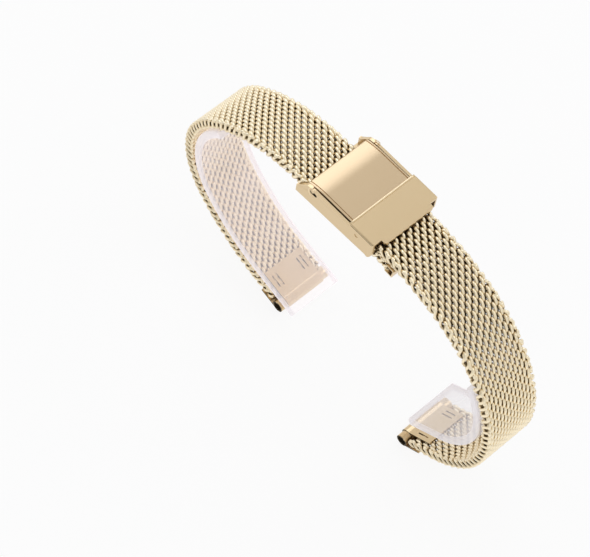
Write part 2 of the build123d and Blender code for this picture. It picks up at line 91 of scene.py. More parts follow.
class NodeGraph:
    """Small helper that adds shader nodes to a new material and links them."""

    def __init__(self, name: str, constants: dict | None = None) -> None:
        """Start a material with a principled shader and its output.

        Args:
            name: Name of the material.
            constants: Values of the shader's own sockets by socket name.
        """
        self.material = bpy.data.materials.new(name)
        self.material.use_nodes = True
        self.tree = self.material.node_tree
        self.shader = self.tree.nodes["Principled BSDF"]
        for key, value in (constants or {}).items():
            self.shader.inputs[key].default_value = value

    def add(self, kind: str, inputs: dict | None = None, **settings: object) -> bpy.types.Node:
        """Add one node.

        Args:
            kind: Node type, without its leading "ShaderNode".
            inputs: Socket values by socket name.
            settings: Properties of the node itself.

        Returns:
            The new node.
        """
        node = self.tree.nodes.new("ShaderNode" + kind)
        for key, value in settings.items():
            setattr(node, key, value)
        for key, value in (inputs or {}).items():
            node.inputs[key].default_value = value
        return node

    def link(self, output: bpy.types.NodeSocket, target: bpy.types.NodeSocket) -> None:
        """Link an output to an input."""
        self.tree.links.new(output, target)

    def noise(
        self, scale: float, detail: float, stretch: tuple[float, float, float] = EVENLY
    ) -> bpy.types.NodeSocket:
        """Noise from 0 to 1 over object coordinates.

        Args:
            scale: How fine the noise is.
            detail: Octaves of finer noise on top.
            stretch: Factor on the coordinates along each axis.

        Returns:
            The noise's value.
        """
        place = self.add("TexCoord")
        mapping = self.add("Mapping", {"Scale": stretch})
        cloud = self.add("TexNoise", {"Scale": scale, "Detail": detail})
        self.link(place.outputs["Object"], mapping.inputs["Vector"])
        self.link(mapping.outputs["Vector"], cloud.inputs["Vector"])
        return cloud.outputs["Fac"]

    def span(self, value: bpy.types.NodeSocket, low: float, high: float) -> bpy.types.NodeSocket:
        """Spread a value from 0..1 over low..high.

        Args:
            value: Value from 0 to 1.
            low: Result at 0.
            high: Result at 1.

        Returns:
            The spread value.
        """
        spread = self.add("MapRange", {"To Min": low, "To Max": high})
        self.link(value, spread.inputs["Value"])
        return spread.outputs["Result"]

    def tint(self, value: bpy.types.NodeSocket, low: Colour, high: Colour) -> bpy.types.ColorRamp:
        """Colour the surface from low to high by a value.

        Args:
            value: Value from 0 to 1.
            low: Colour at 0.
            high: Colour at 1.

        Returns:
            The ramp, which can take more colours.
        """
        ramp = self.add("ValToRGB")
        ramp.color_ramp.elements[0].color = low
        ramp.color_ramp.elements[1].color = high
        self.link(value, ramp.inputs["Fac"])
        self.link(ramp.outputs["Color"], self.shader.inputs["Base Color"])
        return ramp.color_ramp

    def gloss(self, value: bpy.types.NodeSocket, smooth: float, rough: float) -> None:
        """Vary the roughness from smooth to rough by a value."""
        self.link(self.span(value, smooth, rough), self.shader.inputs["Roughness"])

    def bump(self, value: bpy.types.NodeSocket, strength: float, distance: float) -> None:
        """Raise the surface by a value.

        Args:
            value: Value that gives the height.
            strength: Share of the relief that shows.
            distance: Height of the relief.
        """
        raised = self.add("Bump", {"Strength": strength, "Distance": distance})
        self.link(value, raised.inputs["Height"])
        self.link(raised.outputs["Normal"], self.shader.inputs["Normal"])


@dataclass(frozen=True)
class WireFinish:
    """Plated wire of the mesh: bright on its rolled crowns, with painted shade that darkens it down the flanks
    into the hollows between the coils.
    """

    name: str = "plated_wire"
    crown: Colour = (0.98, 0.86, 0.63, 1.0)
    flank_shade: Colour = (0.80, 0.65, 0.42, 1.0)
    hollow_shade: Colour = (0.15, 0.105, 0.05, 1.0)
    hollow_shade_until: float = 0.34
    flank_shade_at: float = 0.56
    crown_from: float = 0.82
    smooth: float = 0.22
    rough: float = 0.36
    grain: float = 2600.0
    relief: float = 0.25
    relief_depth: float = 0.01 * MM

    def material(self) -> bpy.types.Material:
        """Build the material: colour by depth in the weave, as painted shade that darkens towards the hollows;
        roughness and fine drawing lines by noise.

        Returns:
            The new material.
        """
        graph = NodeGraph(self.name, {"Metallic": 1.0})
        depth = graph.add("Attribute", attribute_name="crown")
        # The hollow and flank colours are painted shade, deepest where the wire lies furthest into the weave.
        stops = graph.tint(depth.outputs["Fac"], self.hollow_shade, self.crown).elements
        stops[0].position = self.hollow_shade_until
        stops[1].position = self.crown_from
        stops.new(self.flank_shade_at).color = self.flank_shade
        grain = graph.noise(self.grain, 3.0)
        graph.gloss(grain, self.smooth, self.rough)
        graph.bump(grain, self.relief, self.relief_depth)
        return graph.material


@dataclass(frozen=True)
class SheetFinish:
    """Plated sheet of the clasp and lug ends: polished, with a faint grain across the band."""

    name: str = "plated_sheet"
    colour: Colour = (0.73, 0.565, 0.345, 1.0)
    warm: Colour = (0.715, 0.545, 0.32, 1.0)
    smooth: float = 0.27
    rough: float = 0.35
    patches: float = 220.0
    grain_across: float = 260.0
    grain_along: float = 9000.0
    relief: float = 0.12
    relief_depth: float = 0.01 * MM

    def material(self) -> bpy.types.Material:
        """Build the material: brushed grain across the band, with slow changes of colour under it.

        Returns:
            The new material.
        """
        graph = NodeGraph(self.name, {"Metallic": 1.0})
        graph.tint(graph.noise(self.patches, 2.0), self.warm, self.colour)
        grain = graph.noise(1.0, 4.0, (self.grain_along, self.grain_across, self.grain_along))
        graph.gloss(grain, self.smooth, self.rough)
        graph.bump(grain, self.relief, self.relief_depth)
        return graph.material


@dataclass(frozen=True)
class EdgeHighlight:
    """Cut edges of the plated sheet, brighter than its faces: a painted highlight along each edge."""

    name: str = "rubbed_edge"
    pale: Colour = (0.98, 0.83, 0.58, 1.0)
    dark: Colour = (0.88, 0.71, 0.46, 1.0)
    patches: float = 900.0
    smooth: float = 0.26
    rough: float = 0.36

    def material(self) -> bpy.types.Material:
        """Build the material: bright metal, a painted highlight that varies unevenly along the edge.

        Returns:
            The new material.
        """
        graph = NodeGraph(self.name, {"Metallic": 1.0})
        highlight_patches = graph.noise(self.patches, 3.0)
        graph.tint(highlight_patches, self.dark, self.pale)
        graph.gloss(highlight_patches, self.smooth, self.rough)
        return graph.material


@dataclass(frozen=True)
class ClearFinish:
    """Soft milky plastic of the strips, faintly lilac, slightly wavy, thicker to look through at a slant, with a
    weak painted glow.
    """

    name: str = "clear_plastic"
    colour: Colour = (0.84, 0.79, 0.82, 1.0)
    painted_glow: Colour = (1.0, 0.91, 0.93, 1.0)
    painted_glow_strength: float = 0.40
    face_on: float = 0.19
    slanting: float = 0.34
    slant_blend: float = 0.45
    cloud: float = 0.12
    patches: float = 110.0
    ripples: float = 260.0
    smooth: float = 0.16
    rough: float = 0.30
    bending: float = 1.42
    relief: float = 0.10
    relief_depth: float = 0.05 * MM

    def material(self) -> bpy.types.Material:
        """Build the material: half see-through, denser at a slant and in patches, with a slow ripple.

        The weak glow is painted light: it stands in for the light that the milky plastic carries along inside it,
        and brightens the strips where they lie in shade.

        Returns:
            The new material.
        """
        graph = NodeGraph(
            self.name,
            {"Base Color": self.colour, "IOR": self.bending, "Emission Color": self.painted_glow,
             "Emission Strength": self.painted_glow_strength},
        )
        slant = graph.add("LayerWeight", {"Blend": self.slant_blend})
        patches = graph.noise(self.patches, 1.0)
        milk = graph.add("Math", operation="ADD")
        graph.link(graph.span(slant.outputs["Facing"], self.face_on, self.slanting), milk.inputs[0])
        graph.link(graph.span(patches, -self.cloud, self.cloud), milk.inputs[1])
        graph.link(milk.outputs["Value"], graph.shader.inputs["Alpha"])
        ripple = graph.noise(self.ripples, 2.0)
        graph.gloss(ripple, self.smooth, self.rough)
        graph.bump(ripple, self.relief, self.relief_depth)
        return graph.material


@dataclass(frozen=True)
class BoreShade:
    """Painted shade for the inside of the pin slots and lug tubes: dark and rough."""

    name: str = "dull_bore"
    pale: Colour = (0.10, 0.075, 0.040, 1.0)
    dark: Colour = (0.035, 0.026, 0.014, 1.0)
    metal: float = 0.6
    rough: float = 0.6
    blotches: float = 1800.0

    def material(self) -> bpy.types.Material:
        """Build the material: blotchy dark metal.

        Returns:
            The new material.
        """
        graph = NodeGraph(self.name, {"Metallic": self.metal, "Roughness": self.rough})
        graph.tint(graph.noise(self.blotches, 3.0), self.dark, self.pale)
        return graph.material


@dataclass(frozen=True)
class SeamFinish:
    """End faces where two lengths of one clear strip meet: nothing shows there."""

    name: str = "clear_seam"

    def material(self) -> bpy.types.Material:
        """Build the material: a shader that lets everything through."""
        return NodeGraph(self.name, {"Alpha": 0.0}).material


def outward_faces(points: np.ndarray, faces: list[np.ndarray]) -> list[np.ndarray]:
    """Turn the faces of a closed shape so that they look outwards.

    The sum over the faces of (corner 1 x corner 2) . corner 3 is positive when they already do.

    Args:
        points: Corners, one row each.
        faces: Face tables, one for each number of corners.

    Returns:
        The face tables, each reversed where the sum is negative.
    """
    centred = points - points.mean(axis=0)
    volume = 0.0
    for table in faces:
        for step in range(1, table.shape[1] - 1):
            a, b, c = centred[table[:, 0]], centred[table[:, step]], centred[table[:, step + 1]]
            volume += float(np.einsum("ij,ij->", np.cross(a, b), c))
    return faces if volume > 0 else [table[:, ::-1] for table in faces]


def tube_faces(rings: int, sides: int) -> list[np.ndarray]:
    """Faces of a closed tube whose corners are numbered ring by ring.

    Corner j of ring i has number i*sides + j; each four-sided face joins rings i and i+1, and one face
    closes each end.

    Args:
        rings: Number of rings.
        sides: Corners in each ring.

    Returns:
        A table of four-sided faces and a table of the two end faces.
    """
    ring = np.arange(rings - 1)[:, None] * sides
    corner = np.arange(sides)[None, :]
    after = (corner + 1) % sides
    quads = np.stack([ring + corner, ring + after, ring + sides + after, ring + sides + corner], axis=-1)
    first = np.arange(sides)[::-1]
    last = np.arange(sides) + (rings - 1) * sides
    return [quads.reshape(-1, 4), np.stack([first, last])]


def put_together(parts: list[Shape]) -> Shape:
    """Join closed shapes into one, each turned outwards.

    Args:
        parts: Corners and face tables of each shape.

    Returns:
        Corners and face tables of the whole, whose faces follow in the order of the parts.
    """
    faces, begin = [], 0
    for points, tables in parts:
        faces += [table + begin for table in outward_faces(points, tables)]
        begin += len(points)
    return np.concatenate([points for points, _ in parts]), faces


def unit(rows: np.ndarray) -> np.ndarray:
    """Rows of directions, each brought to length 1."""
    return rows / np.linalg.norm(rows, axis=1, keepdims=True)


def rings_round(
    middle: np.ndarray, first: np.ndarray, second: np.ndarray, radius: np.ndarray, sides: int
) -> np.ndarray:
    """Corners of a round wire, one ring at each place of its middle.

    Corner j of a ring lies radius*(cos t*first + sin t*second) from the middle, with t = 2*pi*j/sides.

    Args:
        middle: Places of the wire's middle, one row each.
        first: Direction to the first corner, one row for each ring.
        second: Direction a quarter turn on, one row for each ring.
        radius: Radius of each ring.
        sides: Corners in each ring.

    Returns:
        Corners by ring, number in the ring and axis.
    """
    turn = np.linspace(0.0, 2 * pi, sides, endpoint=False)
    ring = np.cos(turn)[None, :, None] * first[:, None, :] + np.sin(turn)[None, :, None] * second[:, None, :]
    return middle[:, None, :] + radius[:, None, None] * ring


def mesh_object(
    name: str, points: np.ndarray, faces: list[np.ndarray], slots: list[bpy.types.Material]
) -> bpy.types.Object:
    """Put corners and faces into a new smooth-shaded mesh object at the origin.

    Args:
        name: Name of the piece.
        points: Corners in metres, one row each.
        faces: Face tables, one for each number of corners.
        slots: Materials of the piece.

    Returns:
        The new object.
    """
    mesh = bpy.data.meshes.new(name)
    loops = np.concatenate([table.ravel() for table in faces])
    sizes = np.concatenate([np.full(len(table), table.shape[1]) for table in faces])
    starts = np.concatenate([[0], np.cumsum(sizes)[:-1]])
    mesh.vertices.add(len(points))
    mesh.vertices.foreach_set("co", points.astype(np.float32).ravel())
    mesh.loops.add(len(loops))
    mesh.loops.foreach_set("vertex_index", loops.astype(np.int32))
    mesh.polygons.add(len(sizes))
    mesh.polygons.foreach_set("loop_start", starts.astype(np.int32))
    mesh.polygons.foreach_set("use_smooth", np.ones(len(sizes), bool))
    mesh.update(calc_edges=True)
    mesh.validate()
    for material in slots:
        mesh.materials.append(material)
    piece = bpy.data.objects.new(name, mesh)
    bpy.context.scene.collection.objects.link(piece)
    return piece


@dataclass(frozen=True)
class Arc:
    """A stretch of a line in the upright plane: it starts at a point and heading and keeps one bend.

    The bend is in radians per metre, positive where the line turns anticlockwise, and zero on a straight.
    """

    start: tuple[float, float]
    heading: float
    bend: float
    length: float

    @staticmethod
    def through(start: tuple[float, float], heading: float, end: tuple[float, float]) -> "Arc":
        """Arc that leaves a point along a heading and ends at another point.

        The chord lies half the turn away from the heading, so the turn is twice the angle between them.

        Args:
            start: First point.
            heading: Heading at the first point.
            end: Last point.

        Returns:
            The arc.
        """
        chord = hypot(end[0] - start[0], end[1] - start[1])
        half = wrapped(atan2(end[1] - start[1], end[0] - start[0]) - heading)
        length = chord if abs(half) < STRAIGHT else chord * half / sin(half)
        return Arc(start, heading, 2 * half / length, length)

    @staticmethod
    def into(start: tuple[float, float], end: tuple[float, float], heading: float) -> "Arc":
        """Arc that starts at a point and reaches another point along a heading."""
        half = wrapped(heading - atan2(end[1] - start[1], end[0] - start[0]))
        return Arc.through(start, heading - 2 * half, end)

    def end_heading(self) -> float:
        """Heading at the far end."""
        return self.heading + self.bend * self.length


def wrapped(angle: float) -> float:
    """Angle brought between minus and plus half a turn."""
    return (angle + pi) % (2 * pi) - pi


def upright(place: list[float]) -> tuple[float, float]:
    """Point of the upright plane from a place in space."""
    return (place[0], place[2])


def numbered(stem: str, first: int, last: str) -> list[str]:
    """Names with numbers from the first to the last number of either strap, then one name without."""
    return [f"{stem}_{number:02d}" for number in range(first, LAST_NUMBER + 1)] + [last]


class Centreline:
    """The line that the middle of a strap follows, made of arcs one after another."""

    def __init__(self, arcs: list[Arc], side: Side, across: float, zero: float) -> None:
        """Lay the arcs end to end.

        Args:
            arcs: The arcs in order.
            side: Which strap the line belongs to.
            across: Place of the line across the band.
            zero: Distance along the arcs that counts as zero.
        """
        self.side = side.value
        self.across = across
        self.lengths = np.array([arc.length for arc in arcs])
        self.begins = np.concatenate([[0.0], np.cumsum(self.lengths)[:-1]]) - zero
        self.finish = self.begins[-1] + self.lengths[-1]
        self.start_x = np.array([arc.start[0] for arc in arcs])
        self.start_z = np.array([arc.start[1] for arc in arcs])
        self.headings = np.array([arc.heading for arc in arcs])
        self.bends = np.array([arc.bend for arc in arcs])

    def place(self, along: np.ndarray, across: np.ndarray, height: np.ndarray) -> np.ndarray:
        """Points in space from distances along, across and out from the line.

        On an arc of bend b from heading g0 to g, the line moves by (sin g - sin g0)/b sideways and
        (cos g0 - cos g)/b upwards; on a straight it keeps its heading. The height is added along the normal
        that looks out of the loop.

        Args:
            along: Distances along the line.
            across: Distances across the band from the line.
            height: Distances out of the loop from the line.

        Returns:
            One row of x, y and z for each point.
        """
        index = np.clip(np.searchsorted(self.begins, along, side="right") - 1, 0, len(self.begins) - 1)
        run = along - self.begins[index]
        first = self.headings[index]
        bend = self.bends[index]
        heading = first + bend * run
        straight = np.abs(bend) < STRAIGHT
        divisor = np.where(straight, 1.0, bend)
        move_x = np.where(straight, run * np.cos(first), (np.sin(heading) - np.sin(first)) / divisor)
        move_z = np.where(straight, run * np.sin(first), (np.cos(first) - np.cos(heading)) / divisor)
        normal = heading + self.side * pi / 2
        x = self.start_x[index] + move_x + height * np.cos(normal)
        z = self.start_z[index] + move_z + height * np.sin(normal)
        return np.stack([x, self.across + across, z], axis=-1)

    def point(self, along: float, height: float = 0.0) -> Vector:
        """One point of the line, or over it."""
        return Vector(self.place(np.array([along]), np.array([0.0]), np.array([height]))[0])


@dataclass(frozen=True)
class Coil:
    """One flattened wire coil that runs right across the band and links through its neighbours.

    At angle t round the coil the wire's middle lies reach*sin t along the band,
    rise*(1.2 cos t - 0.2 cos^3 t) out of it and (width/whole angle)*(t - ease/2*sin 2t) across it, so that the
    wire lies more nearly along the band on its faces. The wire is rolled flat where it would stand over them.
    One smaller ring beyond each end rounds the wire off; its place and radius are shares of the wire's radius.
    """

    width: float = 9.33 * MM
    turns: float = 7.0
    reach: float = 0.66 * MM
    rise: float = 0.60 * MM
    wire: float = 0.275 * MM
    face: float = 0.855 * MM
    ease: float = 0.2
    steps: int = 14
    sides: int = 6
    slant: int = 1
    tip_reach: float = 0.7
    tip_share: float = 0.6

    def shape(self, phase: float) -> np.ndarray:
        """Corners of the coil's wire as distances along, across and out, ring by ring.

        Args:
            phase: Angle round the coil at which the wire starts.

        Returns:
            Table of corners, one row of along, across and height each.
        """
        count = int(self.steps * self.turns) + 1
        angle = np.linspace(0.0, 2 * pi * self.turns, count)
        lie = phase + angle
        eased = angle - self.ease / 2 * np.sin(2 * lie)
        middle = np.stack(
            [
                self.reach * np.sin(lie),
                self.slant * self.width * (eased / angle[-1] - 0.5),
                self.rise * (1.2 * np.cos(lie) - 0.2 * np.cos(lie) ** 3),
            ],
            axis=-1,
        )
        tangent = unit(np.gradient(middle, axis=0))
        away = np.stack([np.sin(lie), np.zeros(count), np.cos(lie)], axis=-1)
        away = unit(away - tangent * np.sum(away * tangent, axis=1, keepdims=True))
        beside = np.cross(tangent, away)
        beyond = self.tip_reach * self.wire
        middle = np.concatenate([middle[:1] - beyond * tangent[:1], middle, middle[-1:] + beyond * tangent[-1:]])
        away, beside = (np.concatenate([rows[:1], rows, rows[-1:]]) for rows in (away, beside))
        radius = np.full(count + 2, self.wire)
        radius[[0, -1]] = self.tip_share * self.wire
        corners = rings_round(middle, away, beside, radius, self.sides)
        corners[..., 2] = np.clip(corners[..., 2], -self.face, self.face)
        return corners.reshape(-1, 3)


@dataclass(frozen=True)
class EdgeRope:
    """Two wires twisted round each other along each edge of the mesh, over the ends of its coils.

    At distance s the first wire's angle is 2*pi*s/(rows in a turn*row pitch). Its middle lies sway*sin of the
    angle beside the rope's line and rise*cos of the angle out of it; the second wire is half a turn on.
    """

    rows: float = 3.2
    place: float = 4.51 * MM
    sway: float = 0.21 * MM
    rise: float = 0.61 * MM
    wire: float = 0.27 * MM
    steps: int = 5
    sides: int = 6

    def corners(self, first: float, last: float, pitch: float, edge: int, lead: float) -> np.ndarray:
        """Corners of one wire as distances along, across and out, ring by ring.

        Args:
            first: Distance at which the wire starts.
            last: Distance at which it ends.
            pitch: Distance between the rows of coils.
            edge: Edge that the rope lies on, 1 or -1.
            lead: Angle that the wire is ahead by.

        Returns:
            Table of corners, one row of along, across and height each.
        """
        count = max(2, int(round((last - first) / pitch * self.steps))) + 1
        along = np.linspace(first, last, count)
        climb = 2 * pi / (self.rows * pitch)
        angle = climb * along + lead
        middle = np.stack([along, edge * (self.place + self.sway * np.sin(angle)), self.rise * np.cos(angle)], -1)
        tangent = unit(np.stack(
            [np.ones(count), edge * self.sway * climb * np.cos(angle), -self.rise * climb * np.sin(angle)], -1
        ))
        beside = unit(ACROSS - tangent * tangent[:, 1:2])
        above = np.cross(tangent, beside)
        return rings_round(middle, beside, above, np.full(count, self.wire), self.sides).reshape(-1, 3)


@dataclass
class WovenPiece:
    """A length of mesh between two distances along its strap, and what it rides on."""

    name: str
    first: float
    last: float
    node: str
    body: str
    follower: str | None = None
    hinge: float = 0.0
    reach: float = 0.0


@dataclass
class Crimp:
    """Stretch of strap that is pressed thinner between the plates of its lug end."""

    begin: float
    outer_begin: float
    outer_drop: float = 0.23 * MM
    inner_drop: float = 0.11 * MM
    half_width: float = 3.75 * MM
    ramp: float = 0.35 * MM

    def pressed(self, along: np.ndarray, across: np.ndarray, height: np.ndarray, face: float) -> np.ndarray:
        """Heights after pressing: each side is scaled down to its plate, over a short ramp.

        Args:
            along: Distances along the strap.
            across: Distances across it.
            height: Distances out of it.
            face: Distance of the strap's faces from its middle.

        Returns:
            The new distances out of the strap.
        """
        outer = 1 - self.outer_drop / face * smooth_step((along - self.outer_begin) / self.ramp + 1)
        sides = smooth_step((self.half_width - np.abs(across)) / self.ramp + 1)
        inner = 1 - self.inner_drop / face * smooth_step((along - self.begin) / self.ramp + 1) * sides
        return np.where(height > 0, height * outer, height * inner)


def smooth_step(share: np.ndarray) -> np.ndarray:
    """Smooth rise from 0 to 1: 3 share^2 - 2 share^3, with the share kept between 0 and 1."""
    share = np.clip(share, 0.0, 1.0)
    return share * share * (3 - 2 * share)


@dataclass
class WovenStrap:
    """One woven strap: rows of linked coils along a centreline, cut into lengths."""

    line: Centreline
    coil: Coil
    pitch: float
    crimp: Crimp
    finish: bpy.types.Material
    pieces: list[WovenPiece] = field(default_factory=list)
    rope: EdgeRope = field(default_factory=EdgeRope)
    # Factor on the share to an edge: below 1 the edge ropes take less of the crown colour and more of the painted
    # shade.
    edge_lit_share: float = 0.92

    def rows_between(self, first: float, last: float) -> np.ndarray:
        """Numbers of the rows whose middles lie between two distances.

        Args:
            first: First distance.
            last: Last distance.

        Returns:
            The numbers in order.
        """
        low = int(np.ceil(first / self.pitch - 0.5))
        high = int(np.ceil(last / self.pitch - 0.5))
        return np.arange(low, high)

    def build(self, piece: WovenPiece) -> bpy.types.Object:
        """Build one length of mesh: its coils side by side, every other one half a turn on, and its edges.

        Args:
            piece: The length to build.

        Returns:
            The new object, dressed; a length without a follower rides on its body.
        """
        shapes = np.stack([self.coil.shape(0.0), self.coil.shape(pi)])
        rows = self.rows_between(piece.first, piece.last)
        coils = shapes[rows % 2]
        coils[..., 0] += ((rows + 0.5) * self.pitch)[:, None]
        ropes = [
            self.rope.corners(piece.first, piece.last, self.pitch, edge, lead)
            for edge in (1, -1)
            for lead in (0.0, pi)
        ]
        corners = np.concatenate([coils.reshape(-1, 3)] + ropes)
        height = self.crimp.pressed(corners[:, 0], corners[:, 1], corners[:, 2], self.coil.face)
        points = self.line.place(corners[:, 0], corners[:, 1], height)
        count, begin = coils.shape[1], coils.shape[0] * coils.shape[1]
        tables = outward_faces(points[:count], tube_faces(count // self.coil.sides, self.coil.sides))
        shift = (np.arange(len(rows)) * count)[:, None, None]
        faces = [(table[None] + shift).reshape(-1, table.shape[1]) for table in tables]
        rope_faces = tube_faces(len(ropes[0]) // self.rope.sides, self.rope.sides)
        _, edges = put_together([(rope, rope_faces) for rope in np.split(points[begin:], len(ropes))])
        faces += [table + begin for table in edges]
        woven = mesh_object(piece.name, points, faces, [self.finish])
        # Depth in the weave, from which the wire's material paints shade into the hollows.
        crown = woven.data.attributes.new("crown", "FLOAT", "POINT")
        crown.data.foreach_set("value", self.crowns(corners[:, 1], height).astype(np.float32))
        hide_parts(piece.node)
        self.join(woven, piece)
        return woven

    def join(self, woven: bpy.types.Object, piece: WovenPiece) -> None:
        """Ride a length on its body; a length with a follower is only baked in place and rides on nothing.

        Args:
            woven: The built length.
            piece: What the length rides on; for the tail, whose joint lies before zero, the ends round its joint
                are swapped.
        """
        if piece.follower is None:
            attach(woven, piece.body)
            return
        start = self.line.point(piece.hinge - piece.reach)
        end = self.line.point(piece.hinge + piece.reach)
        if piece.hinge < 0:
            start, end = end, start
        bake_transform(woven)

    def crowns(self, across: np.ndarray, height: np.ndarray) -> np.ndarray:
        """How far each corner stands out of the mesh: its share of the way to a face or to an edge; the wire's
        material paints shade where this share is small.

        Args:
            across: Distances across the strap.
            height: Distances out of it.

        Returns:
            The larger of the two shares for each corner.
        """
        to_face = np.abs(height) / self.coil.face
        to_edge = (np.abs(across) - self.rope.place) / (self.rope.sway + self.rope.wire)
        return np.maximum(to_face, self.edge_lit_share * to_edge)

    def dress(self) -> None:
        """Build every length of the strap."""
        for piece in self.pieces:
            woven = self.build(piece)
            log.info("%s: %d corners", woven.name, len(woven.data.vertices))


@dataclass(frozen=True)
class StrapSizes:
    """Sizes of the woven straps and their lug ends that the frame doesn't name."""

    thickness: float = 1.75 * MM
    long_pitch: float = 0.69 * MM
    short_pitch: float = 0.80 * MM
    lug_strap: float = 5.2 * MM
    tongue: float = 4.3 * MM
    back_plate: float = 2.6 * MM
    tail_radius: float = 27.0 * MM
    tail_turn: float = radians(4.0)
    tail_droop: float = radians(2.5)
    bend_margin: float = 0.85 * MM
    tail_grip: float = 1.3 * MM
    mouth_reach: float = 1.4 * MM
    short_overlap: float = 0.2 * MM


class BandLines:
    """Centrelines of both straps, worked out from the places of the frame's joints and mounts.

    Successive knuckles lie on arcs that run smoothly into each other, so each arc follows from the heading
    at one of its ends.
    """

    def __init__(self, sizes: StrapSizes) -> None:
        """Work out both lines.

        Args:
            sizes: Sizes of the straps.
        """
        slide = JOINTS["long_strap_slide"]["axis"]
        self.sizes = sizes
        self.tilt = atan2(slide[2], slide[0])
        self.across = JOINTS["tail_hinge"]["pos_m"][1]
        self.long_knuckles: list[float] = []
        self.short_knuckles: list[float] = []
        self.long = self._long_line()
        self.short = self._short_line()

    def _long_line(self) -> Centreline:
        """Line of the long strap from the tip of its tail, through the clasp and round to its lug end.

        Returns:
            The line, whose zero is the first knuckle.
        """
        places = [upright(JOINTS[name]["pos_m"]) for name in numbered("long_knuckle", 1, "long_lug_knuckle")]
        tube = upright(MOUNTS["long_lug_bore"]["pos_m"])
        hinge = upright(JOINTS["tail_hinge"]["pos_m"])
        sizes = self.sizes
        bend = 1 / sizes.tail_radius
        out = self.tilt + pi
        tail_out = Arc(hinge, self.tilt - sizes.tail_droop, -bend, sizes.tail_radius * sizes.tail_turn)
        tip = Centreline([tail_out], Side.SHORT, 0.0, 0.0).point(tail_out.length)
        tail = Arc((tip[0], tip[2]), tail_out.end_heading() + pi, bend, tail_out.length)
        inside = Arc.through(hinge, out, places[0])
        arcs = [tail, inside]
        heading = out
        distance = 0.0
        for start, end in zip(places, places[1:]):
            self.long_knuckles.append(distance)
            arcs.append(Arc.through(start, heading, end))
            heading = arcs[-1].end_heading()
            distance += arcs[-1].length
        self.long_knuckles.append(distance)
        arcs.append(Arc.through(places[-1], heading, tube))
        self.inside_length = inside.length
        self.tail_length = tail.length
        return Centreline(arcs, Side.LONG, self.across, tail.length + inside.length)

    def _short_line(self) -> Centreline:
        """Line of the short strap from the clasp to its lug end, worked out back from the lug end.

        Returns:
            The line, whose zero is the strap's end in the clasp.
        """
        places = [upright(JOINTS[name]["pos_m"]) for name in numbered("short_knuckle", 2, "short_lug_knuckle")]
        tube = upright(MOUNTS["short_lug_bore"]["pos_m"])
        heading = atan2(tube[1] - places[-1][1], tube[0] - places[-1][0])
        arcs = [Arc.through(places[-1], heading, tube)]
        for start, end in zip(places[-2::-1], places[:0:-1]):
            arcs.insert(0, Arc.into(start, end, heading))
            heading = arcs[0].heading
        first_bend = arcs[0].bend
        first_length = wrapped(heading - self.tilt) / first_bend
        back = Centreline([Arc(places[0], heading, first_bend, 0.0)], Side.SHORT, 0.0, 0.0).point(-first_length)
        arcs.insert(0, Arc((back[0], back[2]), self.tilt, first_bend, first_length))
        distance = 0.0
        for arc in arcs:
            self.short_knuckles.append(distance)
            distance += arc.length
        return Centreline(arcs, Side.SHORT, self.across, 0.0)


def middles(marks: list[float]) -> list[float]:
    """Halfway points between neighbouring marks."""
    return [(low + high) / 2 for low, high in zip(marks, marks[1:])]


def knuckle_pieces(stem: str, first: int, marks: list[float], cuts: list[float], bodies: list[str],
                   nodes: list[str], margin: float) -> list[WovenPiece]:
    """One length of mesh round each knuckle, from one cut to the next.

    Args:
        stem: Name of the lengths, before their numbers.
        first: Number of the first length.
        marks: Distances of the knuckles.
        cuts: Distances of the cuts, one more than the knuckles.
        bodies: Bodies before, between and after the knuckles.
        nodes: Nodes that the lengths take the place of.
        margin: Distance by which the reach round each knuckle stays short of the nearer cut.

    Returns:
        The lengths in order.
    """
    return [
        WovenPiece(f"{stem}_{index + first:02d}", low, high, nodes[index], bodies[index], bodies[index + 1],
                   mark, min(mark - low, high - mark) - margin)
        for index, (mark, low, high) in enumerate(zip(marks, cuts, cuts[1:]))
    ]


def long_pieces(lines: BandLines, last: float) -> list[WovenPiece]:
    """Lengths of the long strap: tail, the straight in the clasp, and one round each knuckle.

    Args:
        lines: Centrelines of the band.
        last: Distance at which the mesh ends in the lug end.

    Returns:
        The lengths in order.
    """
    sizes = lines.sizes
    marks = lines.long_knuckles
    joint = -lines.inside_length
    tail_cut = joint + sizes.tail_grip + sizes.bend_margin
    cuts = [-sizes.mouth_reach - sizes.bend_margin] + middles(marks) + [last]
    bodies = ["long_in_clasp"] + numbered("long", 1, "long_lug")
    nodes = numbered("long_strap", 1, "long_lug_strap")
    tail = WovenPiece("long_weave_tail", joint - lines.tail_length, tail_cut, "long_strap_tail",
                      "long_in_clasp", "tail", joint, sizes.tail_grip)
    inside = WovenPiece("long_weave_inside", tail_cut, cuts[0], "long_strap_in_clasp", "long_in_clasp")
    return [tail, inside] + knuckle_pieces("long_weave", 1, marks, cuts, bodies, nodes, sizes.bend_margin)


def short_pieces(lines: BandLines, last: float) -> list[WovenPiece]:
    """Lengths of the short strap: the one behind the hook, and one round each knuckle.

    Args:
        lines: Centrelines of the band.
        last: Distance at which the mesh ends in the lug end.

    Returns:
        The lengths in order.
    """
    sizes = lines.sizes
    cuts = middles(lines.short_knuckles) + [last]
    bodies = numbered("short", 1, "short_lug")
    nodes = numbered("short_strap", 2, "short_lug_strap")
    behind = WovenPiece("short_weave_01", -sizes.short_overlap, cuts[0], "short_strap_01", "short_01")
    marks = lines.short_knuckles[1:]
    return [behind] + knuckle_pieces("short_weave", 2, marks, cuts, bodies, nodes, sizes.bend_margin)


